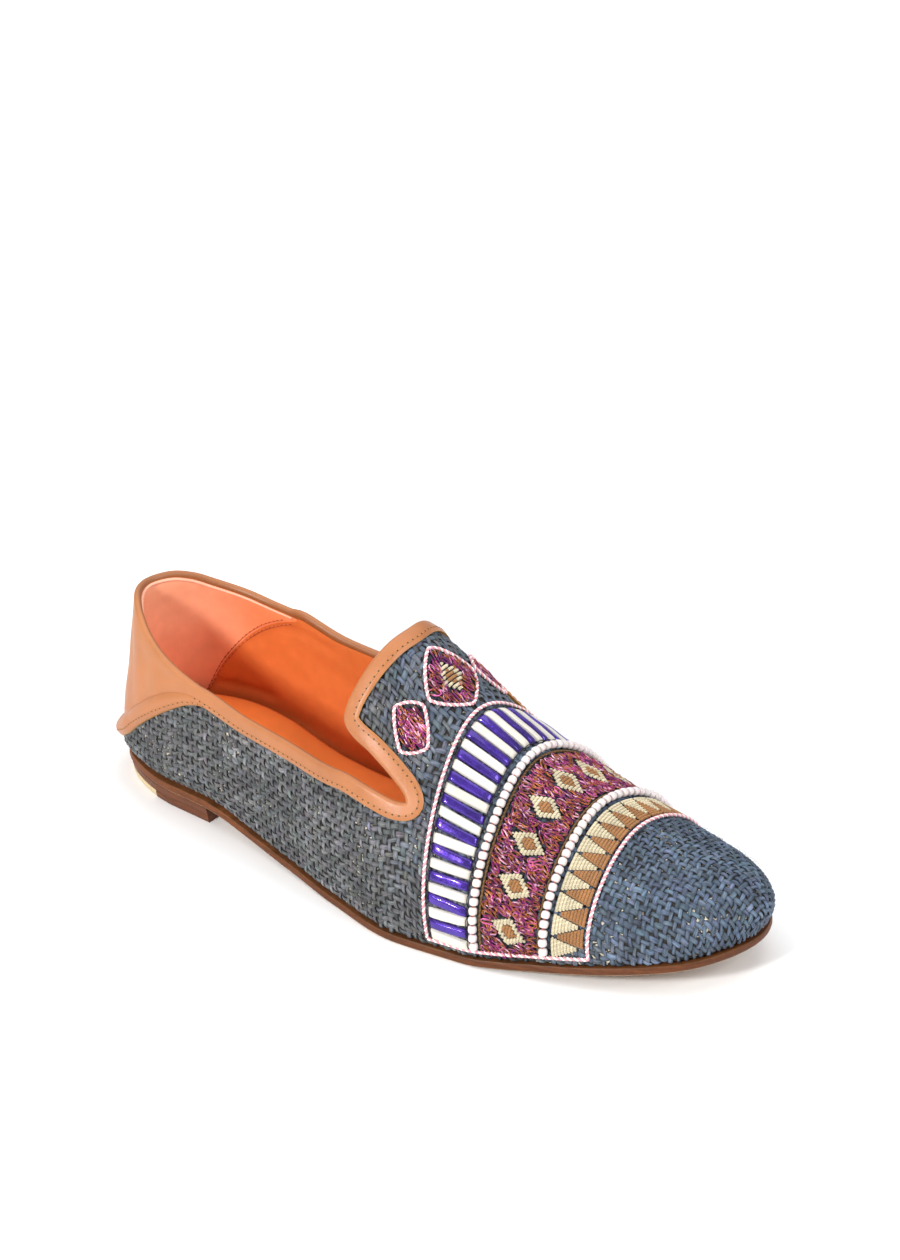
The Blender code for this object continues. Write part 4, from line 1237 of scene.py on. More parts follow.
def build_weave(material):
    """Plain weave: at each crossing, one flat strand of raffia rises over the other and dips at its ends, its
    edges and ends darkened with painted shade.
    """
    rng = np.random.default_rng(SEED)
    xs, run = weave_lengths()
    wefts = np.arange(0.4 * WEAVE_PITCH, run[-1], WEAVE_PITCH)
    warps = (np.arange(WARPS) + 0.5) * WEAVE_PITCH
    strand_tints = np.exp(rng.normal(0, 0.16, (2, 200)))
    shape = (len(STRAND_ALONG), len(STRAND_ACROSS))
    a, flat = (v.ravel()[None] for v in np.meshgrid(STRAND_ALONG, STRAND_ACROSS, indexing="ij"))
    bow = np.cos(a / STRAND_ALONG[-1] * math.pi / 2)
    # Painted shade: round_off darkens each strand toward its edges and its dipped ends, and lightens its
    # crown.
    round_off = (1.2 - 0.62 * flat**2) * (0.72 + 0.46 * bow)
    centre = a.size // 2
    tiles = []
    for side, tongue in ((-1, False), (-1, True), (1, False), (1, True)):
        shown = np.arange(len(wefts))
        shown = shown[np.interp(wefts, run, xs) < TONGUE_ROOT_X] if tongue else shown
        i, j = (v.ravel() for v in np.meshgrid(shown, np.arange(WARPS), indexing="ij"))
        over = (i + j) % 2 == 0
        count = len(i)
        width = np.where(over, *STRAND_WIDTHS) * rng.uniform(0.68, 1.10, count)
        turn = np.radians(rng.normal(0, 8.0, count) + np.where(over, *STRAND_TURNS))[:, None]
        shift = rng.normal(0, 0.05, (2, count, 1))
        lift = rng.normal(0, 0.06, (count, 1))
        b = flat * width[:, None]
        ra = a * np.cos(turn) - b * np.sin(turn) + shift[0]
        rb = a * np.sin(turn) + b * np.cos(turn) + shift[1]
        x = np.interp(wefts[i][:, None] + np.where(over[:, None], rb, ra) * WEAVE_PITCH, run, xs)
        q = warps[j][:, None] + np.where(over[:, None], ra, rb) * WEAVE_PITCH
        q = q if tongue else weave_girth(q, x, side)
        t = girth_place(x, side * q)
        mid_x, mid_t, mid_q = (v[:, centre] for v in (x, t, q))
        covered = (mid_x < WEAVE_HEEL_X) & (mid_t > heel_seam(side)(mid_x) + WEAVE_LAP_T)
        kept = (mid_q > 0) & (mid_q < girth_limit(mid_x, side) + 0.2) & ~covered
        kept &= ~inside(opening_outline(side), x, t).any(axis=1)
        kept &= ((mid_x < TONGUE_ROOT_X) & (mid_t > SLIT_END[1])) == tongue
        height = WEAVE_DIP + (WEAVE_CROWN - WEAVE_DIP) * bow + lift[kept] - STRAND_ROUND * flat**2
        points, _ = on_last(x[kept], t[kept], np.where(q[kept] < 0, -side, side), height)
        if side > 0:
            points = points.reshape(-1, *shape, 3)[:, :, ::-1].reshape(points.shape)
        strand = np.where(over, strand_tints[0][j], strand_tints[1][i])[kept]
        tint = raffia_tint(mid_x[kept], mid_t[kept], side * mid_q[kept], strand, rng)
        thread = np.stack([a * WEAVE_PITCH, flat], axis=-1) + rng.uniform(0, 400, (len(points), 1, 2))
        tiles.append((points, tint[:, None] * round_off[..., None], thread))
    points, tint, thread = (np.concatenate(parts) for parts in zip(*tiles))
    quads = repeated(grid_quads(*shape), len(points), a.size)
    looks = {"tint": tint.reshape(-1, 3), "thread": thread.reshape(-1, 2)}
    add_piece("upper_weave", points, quads, material, "woven_raffia", ("upper",), **looks)


def build_hairs(material):
    """A few loose fibres that stand off the weave."""
    rng = np.random.default_rng(SEED + 1)
    count, length, sides = FIBRES, 8, 3
    x = rng.uniform(20.0, 252.0, count)
    side = np.where(rng.random(count) < 0.5, -1.0, 1.0)
    t = np.where(x < 150.0, rng.uniform(0.03, 0.26, count), rng.uniform(0.05, 0.98, count))
    f = np.linspace(0, 1, length)[None]
    heading = rng.uniform(0, 2 * math.pi, count)[:, None] + rng.normal(0, 1.0, count)[:, None] * f
    reach = rng.uniform(2.5, 8.0, count)[:, None] * f
    lift = 0.25 + rng.uniform(0.1, 1.3, count)[:, None] * np.sin(f * math.pi * 0.85)
    xs = np.clip(x[:, None] + reach * np.cos(heading), 2.0, 256.0)
    ts = np.clip(t[:, None] + 0.010 * reach * np.sin(heading), 0.01, 0.999)
    kept = np.ones(count, bool)
    for one in SIDES:
        kept &= ~(inside(opening_outline(one), xs, ts).any(axis=1) & (side == one))
    path, ups = on_last(xs[kept], ts[kept], side[kept][:, None], lift[kept])
    shade = np.exp(rng.normal(0.35, 0.3, len(path)))[:, None] * np.array(RAFFIA_GREY)
    batch = Batch()
    batch.add_tubes(path, ups, FIBRE_RADIUS * (1 - 0.6 * f), sides, np.repeat(shade, length * sides, axis=0))
    batch.piece("loose_fibres", material, "woven_raffia")


# Pieces: leather on the upper


def folded_rows(x, t, side, low_x, low_t, shares, heights):
    """Leather over an edge: rows from the lower edge up to the fold, round it and a little down inside."""
    point, normal, out = edge_frame(x, t, side)
    outer = np.mean(heights[-1])
    rows = []
    for f, height in zip(shares, heights):
        rows.append(on_last(between(low_x, x, f), between(low_t, t, f), side, height)[0])
    for angle in np.linspace(0, math.pi, ROLL_ROWS + 1)[1:]:
        around = (outer - FOLD_DEPTH) / 2 + (outer + FOLD_DEPTH) / 2 * math.cos(angle)
        rows.append(point + around * normal + FOLD_REACH * math.sin(angle) * out)
    rows.append(point - FOLD_DEPTH * normal - 0.5 * FOLD_FLAP * out)
    rows.append(point - (FOLD_DEPTH - FOLD_TUCK) * normal - FOLD_FLAP * out)
    return np.stack(rows, axis=1)


def leather_slab(name, grid, material, node, cut_edge):
    """A folded strip as a closed sheet, darker round its roll with painted shade, with or without a cut edge
    in its own tint.
    """
    points, quads = slab(grid, LEATHER / 2, -LEATHER / 2, grid_normals(grid))
    columns, rows = grid.shape[:2]
    tint = np.tile(np.array(TAN), (columns, 2 * rows, 1))
    # Painted shade: the rows round the roll and down inside the fold blend to a darker tan.
    rolled = smooth(np.arange(rows), rows - 2 - ROLL_ROWS * 0.75, rows - 2 - ROLL_ROWS * 0.35)[:, None]
    tint[:, :rows] = (1 - rolled) * np.array(TAN) + rolled * np.array(TAN_ROLL_PAINTED_SHADE)
    if cut_edge:
        tint[:, [0, -1]] = TAN_CUT
    add_piece(name, points, quads, material, "tan_leather", (node,), tint=tint.reshape(-1, 3), sharp=50.0)


def build_binding(material, seams):
    """The strip of leather folded over the collar, from the folding back round the slits and the tongue."""
    shares = np.array([0.0, 0.05, 0.2, 0.4, 0.6, 0.8, 1.0])
    heights = GAP + LEATHER / 2 + BINDING_PAD - 0.40 * (1 - smooth(shares, 0.0, 0.12))
    halves = []
    for side in SIDES:
        x, t = collar_edge(side, BINDING_START_X - LAP).T
        if side > 0:
            rise = smooth(x, BINDING_START_X - LAP, BINDING_START_X + LAP)
            t = t + BINDING_STEP * rise * (1 - smooth(x, *BINDING_STEP_FADE))
        _, _, out = edge_frame(x, t, side)
        low_x, low_t = walked(x, t, side, -out, BINDING_WIDTH)
        low_t[-1] = 1.0
        rows = folded_rows(x, t, side, low_x, low_t, shares, heights)
        sewn = (between(low_x, x, BINDING_SEWN), between(low_t, t, BINDING_SEWN), side)
        halves.append((rows, *on_last(*sewn, GAP + LEATHER + BINDING_PAD)))
    grid, path, ups = (joined_at_ridge(*pair) for pair in zip(*halves))
    leather_slab("binding_leather", grid, material, "collar_binding", True)
    seams.append((path, ups))


def panel_folds(x, t, side):
    """Soft folds in the thin back: shallow creases that run down from the rim."""
    along = np.where(side < 0, -x, x)
    lean = PANEL_FOLD_LEAN * (t - 0.4)
    folds = sum(np.exp(-(((along - at - lean) / wide) ** 2)) * deep for at, wide, deep in PANEL_FOLDS)
    return -folds * smooth(t, 0.12, 0.30) * (1 - smooth(t, 0.44, 0.56))


def build_heel_panel(material):
    """The smooth back, which folds down under the heel: from under the band up to its rolled edge."""
    shares = np.concatenate([[0.0, 0.05], np.linspace(0.1, 1.0, 26)])
    halves = []
    for side in SIDES:
        _, (seam_x, seam_t) = heel_band_edges(side)
        edge_x = heel_stations(HEEL_PANEL_TIP_X + LAP)
        edge_t = topline(side)(edge_x)
        low_t = np.minimum(seam_t - 0.008, edge_t - 0.02)
        heights = []
        for f in shares:
            dip = 0.45 * (1 - smooth(f, 0.0, 0.14))
            folds = panel_folds(between(seam_x, edge_x, f), between(low_t, edge_t, f), side)
            heights.append(GAP + LEATHER / 2 - dip + folds * (1 - smooth(f, 0.72, 0.95)))
        halves.append(folded_rows(edge_x, edge_t, side, seam_x, low_t, shares, heights))
    leather_slab("heel_panel_leather", joined_at_heel(*halves)[::-1], material, "heel_panel", False)


def build_heel_band(material, seams):
    """The padded band of leather over the seam, round the back of the heel."""
    f = np.linspace(0, 1, HEEL_BAND_ROWS)[None]
    round_off = np.sin(math.pi * np.clip(f, 0.02, 0.98)) ** 0.45
    halves = []
    for side in SIDES:
        low, high = heel_band_edges(side)
        place = (*(between(a[:, None], b[:, None], f) for a, b in zip(low, high)), side)
        x = low[0]
        crown = HEEL_BAND_CROWN * (1 - x / x[-1])[:, None] ** 0.7 * np.sin(math.pi * f)
        outer = (GAP + round_off * LEATHER + crown)[..., None]
        halves.append((last_point(*place), last_normal(*place), outer))
    grid, normals, outer = (joined_at_heel(*pair) for pair in zip(*halves))
    points, quads = slab(grid, outer, HEEL_BAND_INNER, normals)
    tint = np.tile(np.array(TAN), (len(grid), 2 * HEEL_BAND_ROWS, 1))
    tint[:, [0, -1]] = TAN_CUT
    looks = {"tint": tint.reshape(-1, 3), "sharp": 60.0}
    add_piece("heel_band_leather", points, quads, material, "tan_leather", ("heel_band",), **looks)
    seams.append(((grid + outer * normals)[:, HEEL_BAND_SEWN_ROW], normals[:, HEEL_BAND_SEWN_ROW]))


def build_stitching(name, seams, tint, hole_shade, material, slot):
    """Lines of stitches: a short thread between each two pinholes, and the holes as dark discs of painted
    shade.
    """
    threads, holes = Batch(), Batch()
    f = np.linspace(0.13, 0.87, 6)
    bow = np.sin(math.pi * f)
    angle = ring_angles(HOLE_SIDES)[:, None]
    fan = np.array([[0, 1, 2, 3], [4, 5, 6, 7], [3, 4, 7, 0]])
    for path, ups in seams:
        spots, normals = resampled(path, STITCH_PITCH, ups)
        ahead, across, _ = path_axes(spots, normals)
        normal = unit(normals)[:, None]
        step = np.diff(spots, axis=0)[:, None]
        line = spots[:-1, None] + f[:, None] * step + (0.15 * bow - 0.06)[:, None] * normal[:-1]
        threads.add_tubes(line, np.broadcast_to(normal[:-1], line.shape), STITCH_RADIUS * bow**0.4, 5, tint)
        spread = HOLE_LONG * np.cos(angle) * ahead[:, None] + HOLE_WIDE * np.sin(angle) * across[:, None]
        rims = spots[:, None] + 0.03 * normal
        discs = np.stack([rims + spread, rims + 0.35 * spread], axis=1)
        holes.add(discs, repeated(ring_quads(2, HOLE_SIDES), len(spots), 2 * HOLE_SIDES), hole_shade)
        holes.add(discs[:, 1], repeated(fan, len(spots), HOLE_SIDES), hole_shade)
    threads.piece(name + "_stitches", material, slot)
    holes.piece(name + "_pinholes", material, slot)


def grip_seams():
    """Two lines of stitches along the seam of the heel grip, on the inner face of the lining."""
    seams = []
    for side in SIDES:
        for shift in (-GRIP_SEWN_T, GRIP_SEWN_T):
            x = np.linspace(12.2, 50.0, 60)
            t = GRIP_T(x) + shift
            kept = (t > 0.03) & (t < topline(side)(x) - 0.035)
            points, normals = on_last(x[kept], t[kept], side, -WALL - 0.05)
            seams.append((points, -normals))
    return seams


# Pieces: sole and heel


def plate(rings, shared_ends):
    """A closed solid from stacked outlines, top first, with the halves of each end joined straight across.

    The halves of an outline share their points at its two ends, or each half has its own there.
    """
    count = len(rings[0])
    quads = ring_quads(len(rings), count)[:, ::-1].tolist()
    partner, steps = (count, count // 2 + 1) if shared_ends else (count - 1, count // 2)
    for first, turn in ((0, 1), ((len(rings) - 1) * count, -1)):
        pairs = [(first + i, first + (partner - i) % count) for i in range(steps)]
        for (a, b), (c, d) in zip(pairs, pairs[1:]):
            quads.append(list(dict.fromkeys((a, b, d, c)))[::turn])
    return np.vstack(rings), quads


def raised(outline, heights):
    return np.column_stack([outline, np.broadcast_to(heights, len(outline))])


def ring_tints(steps, count):
    """The tint in the last column of a table of rings, for each point of the rings."""
    return np.repeat(np.array([tint for *_, tint in steps]), count, axis=0)


def build_outsole(material):
    """The leather sole: a rounded, burnished edge with a dark line on top and a paler one at the ground."""
    ground = SOLE_BOTTOM(feather_outline()[:, 0])
    rings = [raised(sole_outline(out), ground + up) for out, up, _ in SOLE_RINGS]
    points, faces = plate(rings, True)
    tint = ring_tints(SOLE_RINGS, len(ground)) * (1 - SOLE_FADE * smooth(points[:, :1], *SOLE_FADE_X))
    add_piece("outsole_leather", points, faces, material, "sole_leather", ("outsole",), tint=tint, sharp=40.0)


def build_insole(material):
    """The sock over the padded footbed: flat in the middle, rounded off where it meets the wall, with painted
    shade on the rounded edge.
    """
    outline = feather_outline()
    floor = feather_z(outline[:, 0])
    thick = INSOLE_HEIGHT(outline[:, 0])
    spread = INSOLE_SPREAD * (1 - smooth(outline[:, :1], *TUCK_FADE))
    rings = []
    for out, share, up, _ in SOCK_RINGS:
        rings.append(raised(grown(outline, out + share * spread), floor + share * thick + up))
    points, faces = plate(rings, True)
    tint = ring_tints(SOCK_RINGS, len(outline))
    add_piece("insole_sock", points, faces, material, "lining_leather", ("insole",), tint=tint, sharp=60.0)


def heel_outline(inset, back_x, front_x):
    """The heel's outline between two places along the shoe, set in from the sole's edge."""
    outline = sole_outline(-inset)
    half = len(outline) // 2
    lateral = outline[half::-1]
    medial = np.concatenate([outline[half:], outline[:1]])
    xs = back_x + (front_x - back_x) * np.sin(np.linspace(0, math.pi / 2, HEEL_POINTS)) ** 2
    xs = np.maximum(xs, lateral[:, 0].min() + 0.02)
    low, high = (np.column_stack([xs, np.interp(xs, *line.T)]) for line in (lateral, medial))
    return np.concatenate([low[::-1], high])


def build_heel(material, tip_material):
    """A low heel: one leather lift, then a top piece with a pale tip at the back."""
    top = float(SOLE_BOTTOM(0.0)) - 0.05
    low = TOP_PIECE_THICK + GAP
    # Rings of each layer: height, inset from the sole's edge and tint.
    stack = (
        (top, 0.25, SOLE_DARK),
        (top - 0.2, 0.15, HEEL_BROWN),
        (low + 0.35, 0.95, HEEL_BROWN),
        (low, 1.2, SOLE_DARK),
    )
    lift = (
        (low - 0.05, 1.25, SOLE_DARK),
        (2.5, 1.0, HEEL_BROWN),
        (0.3, 1.5, HEEL_BROWN),
        (0.0, 1.8, SOLE_DARK),
    )
    tip = (
        (low - 0.05, 1.0, HEEL_TIP_PALE),
        (2.4, 0.9, HEEL_TIP_PALE),
        (0.3, 1.5, HEEL_TIP_PALE),
        (0.0, 1.8, SOLE_PALE),
    )
    layers = (
        ("heel_stack", stack, 0.0, HEEL_BREAST_X, material, "sole_leather"),
        ("heel_lift", lift, HEEL_SPLIT_X + GAP, HEEL_BREAST_X, material, "sole_leather"),
        ("heel_tip", tip, 0.0, HEEL_SPLIT_X, tip_material, "pale_leather"),
    )
    for node, levels, back_x, front_x, leather, slot in layers:
        rings = [raised(heel_outline(inset, back_x, front_x), z) for z, inset, _ in levels]
        points, faces, kept = welded(*plate(rings, False))
        tint = ring_tints(levels, len(rings[0]))[kept]
        add_piece(node + "_leather", points, faces, leather, slot, (node,), tint=tint, sharp=35.0)


# Pieces: embroidery and beadwork


def chain_loops(batch, centres, rng):
    """Open loops of metallic thread, each raised at its round end, with a thin gold strand inside it."""
    count, sides = len(centres), 4
    angle = np.radians(np.linspace(-140, 140, 8))[None]
    long = rng.uniform(*LOOP_LENGTHS, count)[:, None]
    wide = rng.uniform(*LOOP_WIDTHS, count)[:, None]
    flip = np.where(rng.random(count) < 0.5, 0.0, math.pi)
    heading = (flip + rng.normal(0, 0.40, count))[:, None]
    top = rng.uniform(*LOOP_HEIGHTS, count)[:, None]
    for scale, strand, tints in LOOP_STRANDS:
        a = scale * long * np.cos(angle)
        b = scale * wide * np.sin(angle) * (1.15 + 0.3 * np.cos(angle))
        x = centres[:, :1] + a * np.cos(heading) - b * np.sin(heading)
        q = centres[:, 1:] + a * np.sin(heading) + b * np.cos(heading)
        path, ups = on_vamp(x, q, 0.22 + scale * top * (0.5 + 0.5 * np.cos(angle * 0.9)))
        shade = np.array(tints)[rng.integers(0, len(tints), count)]
        shade = shade * np.exp(rng.normal(0, 0.3, count))[:, None]
        shade = np.repeat(shade[:, None], angle.size, axis=1)
        glint = rng.random(shade.shape[:2])
        shade[glint < 0.24] = GOLD_TINTS[0]
        shade[glint > 0.90] = METALLIC_GLINT
        batch.add_tubes(path, ups, strand, sides, np.repeat(shade.reshape(-1, 3), sides, axis=0))


def in_lozenge(x, q, lozenge, margin, power=1.0):
    middle_x, middle_q, half_x, half_q = lozenge
    across = np.abs(x - middle_x) / (half_x + margin)
    return across**power + (np.abs(q - middle_q) / (half_q + margin)) ** power < 1


def band_lozenges():
    """The lozenges along the middle of the chain-stitch band."""
    x, q = band_place(CHAIN_BAND, np.array(BAND_LOZENGE_SHARES), 0.5)
    return [(one_x, one_q, *BAND_LOZENGE_HALF) for one_x, one_q in zip(x, q)]


def build_chain_band(material):
    rng = np.random.default_rng(SEED + 2)
    rows = np.linspace(0.11, 0.89, LOOP_ROWS)
    shares = np.linspace(-0.985, 0.985, LOOP_COLUMNS)
    share, row = (v.ravel() for v in np.meshgrid(shares, rows, indexing="ij"))
    share = np.clip(share + rng.normal(0, 0.0035, len(share)), -0.995, 0.995)
    row = np.clip(row + rng.normal(0, 0.012, len(row)), 0.02, 0.98)
    x, q = band_place(CHAIN_BAND, share, row)
    kept = np.ones(len(x), bool)
    for lozenge in band_lozenges():
        kept &= ~in_lozenge(x, q, lozenge, 1.4)
    batch = Batch()
    chain_loops(batch, np.stack([x, q], axis=1)[kept], rng)
    batch.piece("chain_band_loops", material, "metallic_thread", ("chain_band",))


def build_tongue_loops(material):
    rng = np.random.default_rng(SEED + 3)
    batch = Batch()
    for name, *lozenge in LOZENGES:
        middle_x, middle_q, half_x, half_q = lozenge
        xs = np.arange(-half_x, half_x, TONGUE_LOOP_STEPS[0])
        qs = np.arange(-half_q, half_q, TONGUE_LOOP_STEPS[1])
        x, q = (v.ravel() for v in np.meshgrid(xs, qs, indexing="ij"))
        x = middle_x + x + rng.normal(0, 0.2, len(x))
        q = middle_q + q + rng.normal(0, 0.2, len(q))
        kept = in_lozenge(x, q, lozenge, -1.5, 1 / LOZENGE_BLUNT)
        if name == "tongue_medallion":
            kept &= ~in_lozenge(x, q, MEDALLION_HEART, 0.9)
        chain_loops(batch, np.stack([x, q], axis=1)[kept], rng)
    batch.piece("tongue_loops", material, "metallic_thread", tuple(name for name, *_ in LOZENGES))


def yarn_row(batch, x, q, tint, rng):
    """One row of two-ply yarn laid over the vamp, a little lighter or darker than the last."""
    tint = np.array(tint) * rng.uniform(0.88, 1.1)
    twisted(batch, *on_vamp(x, q, YARN_HEIGHT), *YARN, (tint, tint * 0.86))


def build_teeth(material):
    """Sawtooth band: cream triangles from the back edge and rust ones from the front, in rows of yarn."""
    rng = np.random.default_rng(SEED + 4)
    batch = Batch()
    pitch = 1.0 / TEETH_PER_SIDE
    clear, shortest = 0.003, 0.012
    for k in range(-TEETH_PER_SIDE, TEETH_PER_SIDE):
        for tint, offset, grows in ((CREAM_YARN, 0.5, False), (RUST_YARN, 0.0, True)):
            if grows and k == -TEETH_PER_SIDE:
                continue
            middle = (k + offset) * pitch
            for row in (np.arange(TOOTH_YARNS) + 0.5) / TOOTH_YARNS:
                half = (row if grows else 1 - row) * pitch / 2 - clear
                if half >= shortest:
                    share = np.linspace(middle - half, middle + half, 24)
                    yarn_row(batch, *band_place(TOOTH_BAND, share, row), tint, rng)
    batch.piece("tooth_yarn", material, "wool_thread", ("tooth_band",))


def build_lozenge_yarn(material):
    """Lozenges of cream yarn round a rust heart, along the chain-stitch band and on the tongue."""
    rng = np.random.default_rng(SEED + 5)
    batch = Batch()
    clear, shortest, points = 0.12, 0.7, 16
    for middle_x, middle_q, half_x, half_q in [*band_lozenges(), MEDALLION_HEART]:
        for dx in np.arange(-half_x + 0.5, half_x, YARN_PITCH):
            half = half_q * (1 - abs(dx) / half_x)
            heart = half_q * (0.52 - abs(dx) / half_x)
            spans = [(-half, half, CREAM_YARN)]
            if heart > 0.5:
                spans = [(-half, -heart, CREAM_YARN), (-heart, heart, RUST_YARN), (heart, half, CREAM_YARN)]
            for start, end, tint in spans:
                if end - start >= shortest:
                    q = middle_q + np.linspace(start + clear, end - clear, points)
                    yarn_row(batch, np.full(points, middle_x + dx), q, tint, rng)
    batch.piece("lozenge_yarn", material, "wool_thread")


def border_path():
    """The cord round the beadwork: two arches over the vamp, joined along the sole on both sides."""
    back, front = BORDER_ARCHES
    ridges = np.linspace(back, front, 60)[1:-1]
    spans = (
        (back, np.linspace(-arch_reach(back, -1), arch_reach(back, 1), 150)),
        (ridges, np.array([arch_reach(ridge, 1) for ridge in ridges])),
        (front, np.linspace(arch_reach(front, 1), -arch_reach(front, -1), 130)),
        (ridges[::-1], -np.array([arch_reach(ridge, -1) for ridge in ridges[::-1]])),
    )
    x = np.concatenate([arch_x(ridge, q) for ridge, q in spans])
    q = np.concatenate([q for _, q in spans])
    return np.append(x, x[0]), np.append(q, q[0])


def lozenge_path(middle_x, middle_q, half_x, half_q):
    """A closed path just outside a lozenge, with blunt corners."""
    angle = np.linspace(0, 2 * math.pi, 121)
    dx, dq = (np.sign(v) * np.abs(v) ** (2 * LOZENGE_BLUNT) for v in (np.cos(angle), np.sin(angle)))
    margin = 0.5
    return middle_x + (half_x + margin) * dx, middle_q + (half_q + margin) * dq


def along_arch(ridge_x, count, height):
    """A path along an arch, from just above the margin on one side to the other, and its normals."""
    clear = 1.0
    q = np.linspace(-arch_reach(ridge_x, -1) + clear, arch_reach(ridge_x, 1) - clear, count)
    return on_vamp(arch_x(ridge_x, q), q, height)


def build_cords(material):
    """Pink and white cord round the beadwork and the lozenges on the tongue, and brown cord by the beads."""
    batch = Batch()
    for x, q in [border_path()] + [lozenge_path(*lozenge) for _, *lozenge in LOZENGES]:
        path, ups = on_vamp(x, q, BORDER_HEIGHT)
        twisted(batch, path, ups, *BORDER_CORD, (PINK, CORD_WHITE), sides=6, per_turn=9)
    for _, _, ridge_x in BEAD_ROWS:
        path, ups = along_arch(ridge_x, 160, BEAD_CORD_HEIGHT)
        twisted(batch, path, ups, *BEAD_CORD, (BROWN_CORD, np.array(BROWN_CORD) * 1.7))
    batch.piece("border_cords", material, "wool_thread")


def build_beads(name, ridge_x, material, thread_material):
    """A row of barrel beads threaded close together, and the thread between them."""
    rng = np.random.default_rng(SEED + int(ridge_x))
    line, ups = along_arch(ridge_x, 300, GAP + BEAD_RADIUS)
    spots, normals = (v[1::2] for v in resampled(line, BEAD_PITCH / 2, ups))
    ahead, across, up = path_axes(spots, normals)
    profile = np.array([*BEAD_PROFILE, *((-a, r) for a, r in BEAD_PROFILE[-2::-1])])
    angle = ring_angles(BEAD_SIDES)[:, None]
    beads = Batch()
    for k in range(len(spots)):
        size = rng.uniform(0.94, 1.03)
        yaw, pitch = rng.normal(0, 0.06, 2)
        axis = unit(ahead[k] + yaw * across[k] + pitch * up[k])
        aside = unit(np.cross(axis, up[k]))
        ring = np.cos(angle) * np.cross(aside, axis) + np.sin(angle) * aside
        points = spots[k] + profile[:, :1, None] * axis + size * profile[:, 1:, None] * ring[None]
        tint = np.array(BEAD_WHITE) * rng.uniform(0.95, 1.03, 3)
        beads.add(points, ring_quads(len(profile), BEAD_SIDES), tint)
    beads.piece(name + "_beads", material, "white_beads", (name,))
    threads = Batch()
    threads.add_tubes(line[None], ups[None], BEAD_THREAD_RADIUS, 6, BEAD_THREAD)
    threads.piece(name + "_thread", thread_material, "wool_thread")


def build_strips(foil, leather, thread_material):
    """Strips of leather laid side by side over the lane, purple and cream in turn, sewn down at both ends."""
    rng = np.random.default_rng(SEED + 6)
    pitch = 1.0 / STRIPS_PER_SIDE
    a, b = np.meshgrid(np.linspace(-1, 1, 22), np.linspace(-1, 1, 9), indexing="ij")
    narrow = 1 - 0.16 * np.abs(a) ** 6
    round_off = np.sqrt(1 - np.abs(b) ** 5) * np.sqrt(1 - np.abs(a) ** 9)
    arch = STRIP_HEIGHT + STRIP_SWELL * np.cos(a * math.pi / 2)
    f = np.linspace(-STRIP_STITCH_REACH, STRIP_STITCH_REACH, 7)
    over = STRIP_STITCH_HEIGHT * np.sqrt(1 - (f / STRIP_STITCH_REACH) ** 4) + 0.1
    purple, cream, threads = Batch(), Batch(), Batch()
    for k in range(2 * STRIPS_PER_SIDE):
        middle = -1 + (k + 0.5) * pitch
        batch, tint = (purple, PURPLE) if k % 2 else (cream, STRIP_CREAM)
        tilt = rng.normal(0, 0.0030)
        width = STRIP_HALF * pitch * rng.uniform(0.95, 1.03)
        share = middle + b * width * narrow + tilt * a
        x, q = band_place(STRIP_LANE, np.clip(share, -1, 1), 0.5 + STRIP_REACH * a)
        swell = arch + rng.normal(0, 0.05)
        wave = 0.07 * np.sin(a * rng.uniform(4, 8) + rng.uniform(0, 6)) * (1 - b**2)
        points, _ = on_vamp(x, q, 0.12 + round_off * (swell + wave))
        batch.add(points, grid_quads(*a.shape), np.array(tint) * rng.uniform(0.88, 1.08))
        for row in STRIP_STITCH_ROWS:
            x, q = band_place(STRIP_LANE, np.clip(middle + f * width, -1, 1), row)
            path, ups = on_vamp(x, q, over)
            threads.add(*tubes(path[None], ups[None], STRIP_STITCH_RADIUS, 5)[:2], BLACK_THREAD)
    purple.piece("strips_purple", foil, "strip_leather", ("strip_lane",))
    cream.piece("strips_cream", leather, "strip_leather")
    threads.piece("strip_stitches", thread_material, "strip_leather")


# The studio


def view_axes():
    """Right, up and back of the photograph's view."""
    a, e = math.radians(CAMERA_AZIMUTH), math.radians(CAMERA_ELEVATION)
    back = Vector((math.sin(a) * math.cos(e), -math.cos(a) * math.cos(e), math.sin(e)))
    right = Vector((math.cos(a), math.sin(a), 0.0))
    return right, back.cross(right), back


def build_camera():
    right, up, back = view_axes()
    x, y, z = CAMERA_TARGET
    target = Vector((x - CENTRE_X, y - CENTRE_Y, z)) * MM
    data = bpy.data.cameras.new("photo_camera")
    data.lens = CAMERA_FOCAL
    data.sensor_fit = "AUTO"
    data.sensor_width = CAMERA_SENSOR
    camera = linked("photo_camera", data)
    roll = Matrix.Rotation(math.radians(-CAMERA_ROLL), 4, "Z")
    turn = Matrix((right, up, back)).transposed().to_4x4() @ roll
    camera.matrix_world = Matrix.Translation(target + back * CAMERA_DISTANCE * MM) @ turn
    bpy.context.scene.camera = camera


def build_light(name, offset, size, watts, colour):
    """A square softbox, placed by how far right, back and up it is from the shoe, and aimed at the shoe."""
    right, _, back = view_axes()
    level = Vector((back.x, back.y, 0.0)).normalized()
    place = right * offset[0] + level * offset[1] + Vector((0.0, 0.0, offset[2]))
    data = bpy.data.lights.new(name, "AREA")
    data.shape = "SQUARE"
    data.size = size
    data.energy = watts
    data.color = colour
    light = linked(name, data)
    aim = Vector(LIGHT_AIM) - place
    light.matrix_world = Matrix.Translation(place) @ aim.to_track_quat("-Z", "Y").to_matrix().to_4x4()


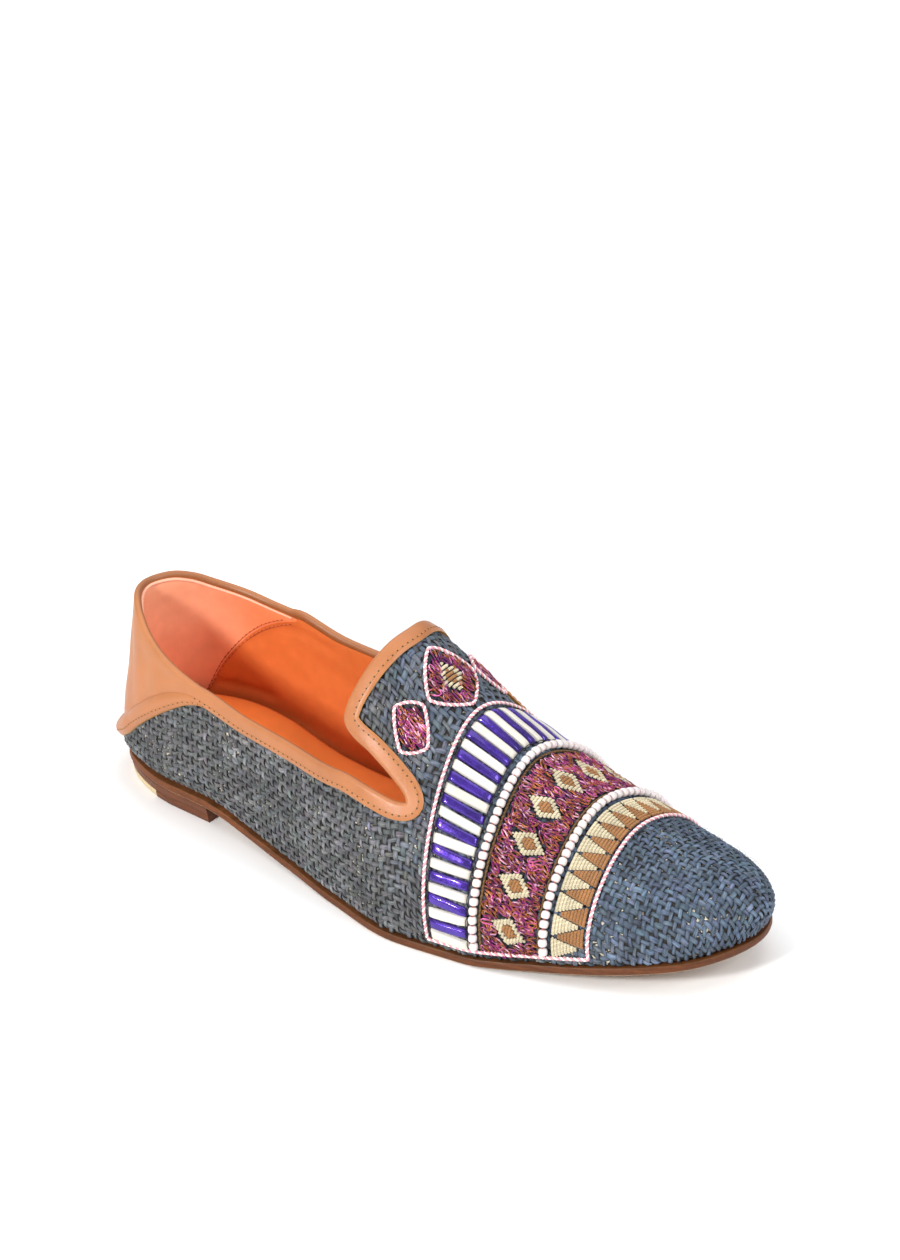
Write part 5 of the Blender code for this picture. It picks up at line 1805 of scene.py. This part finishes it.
def build_studio():
    """A pale floor, a key from the heel's side, a fill from the toe's, a broad top and an even surround."""
    mesh = bpy.data.meshes.new("studio_floor")
    corners = [(FLOOR_REACH * x, FLOOR_REACH * y, 0.0) for x, y in ((-1, -1), (1, -1), (1, 1), (-1, 1))]
    mesh.from_pydata(corners, [], [(0, 1, 2, 3)])
    mesh.materials.append(floor_material())
    floor = linked("studio_floor", mesh)
    for light in LIGHTS:
        build_light(*light)
    world = bpy.data.worlds.new("studio")
    world.use_nodes = True
    surround = world.node_tree.nodes["Background"].inputs
    surround["Color"].default_value = rgba(SURROUND)
    surround["Strength"].default_value = SURROUND_STRENGTH
    bpy.context.scene.world = world
    bpy.context.scene.view_settings.view_transform = "Standard"


def main():
    raffia = fibre_material("woven_raffia", 0.85, 0.32, 1.5, 0.22, Roughness=0.62, Specular_IOR_Level=0.35)
    metallic = fibre_material("metallic_thread", 0.5, 1.6, 1.6, 0.1, Metallic=0.6, Roughness=0.32)
    wool = fibre_material("wool_yarn", 0.28, 1.2, 2.2, 0.2, Roughness=0.9, Sheen_Weight=0.25)
    cotton = fibre_material("cotton_thread", 0.2, 1.5, 1.5, 0.1, Roughness=0.7)
    tan = leather_material("tan_leather", 0.13, 1500.0, 0.12, roughness=0.42, gloss=0.45)
    sock = leather_material("sock_leather", 0.12, 1300.0, 0.15, roughness=0.5, gloss=0.4)
    kid = leather_material("cream_leather", 0.08, 1600.0, 0.15, roughness=0.4, gloss=0.45)
    sole = sole_material()
    build_camera()
    build_studio()
    build_backing(backing_material())
    build_lining(lining_material())
    build_lining_edge(sock)
    build_weave(raffia)
    build_hairs(raffia)
    seams = []
    build_binding(tan, seams)
    build_heel_panel(tan)
    build_heel_band(tan, seams)
    build_stitching("leather", seams, STITCH_TAN, PINHOLE_PAINTED_SHADE, cotton, "tan_leather")
    build_stitching("grip", grip_seams(), GRIP_STITCH, GRIP_PINHOLE_PAINTED_SHADE, cotton, "lining_leather")
    build_outsole(sole)
    build_insole(sock)
    build_heel(sole, sock)
    build_chain_band(metallic)
    build_tongue_loops(metallic)
    build_teeth(wool)
    build_lozenge_yarn(wool)
    build_cords(cotton)
    beads = bead_material()
    for name, ridge_x, _ in BEAD_ROWS:
        build_beads(name, ridge_x, beads, cotton)
    build_strips(foil_material(), kid, cotton)


main()
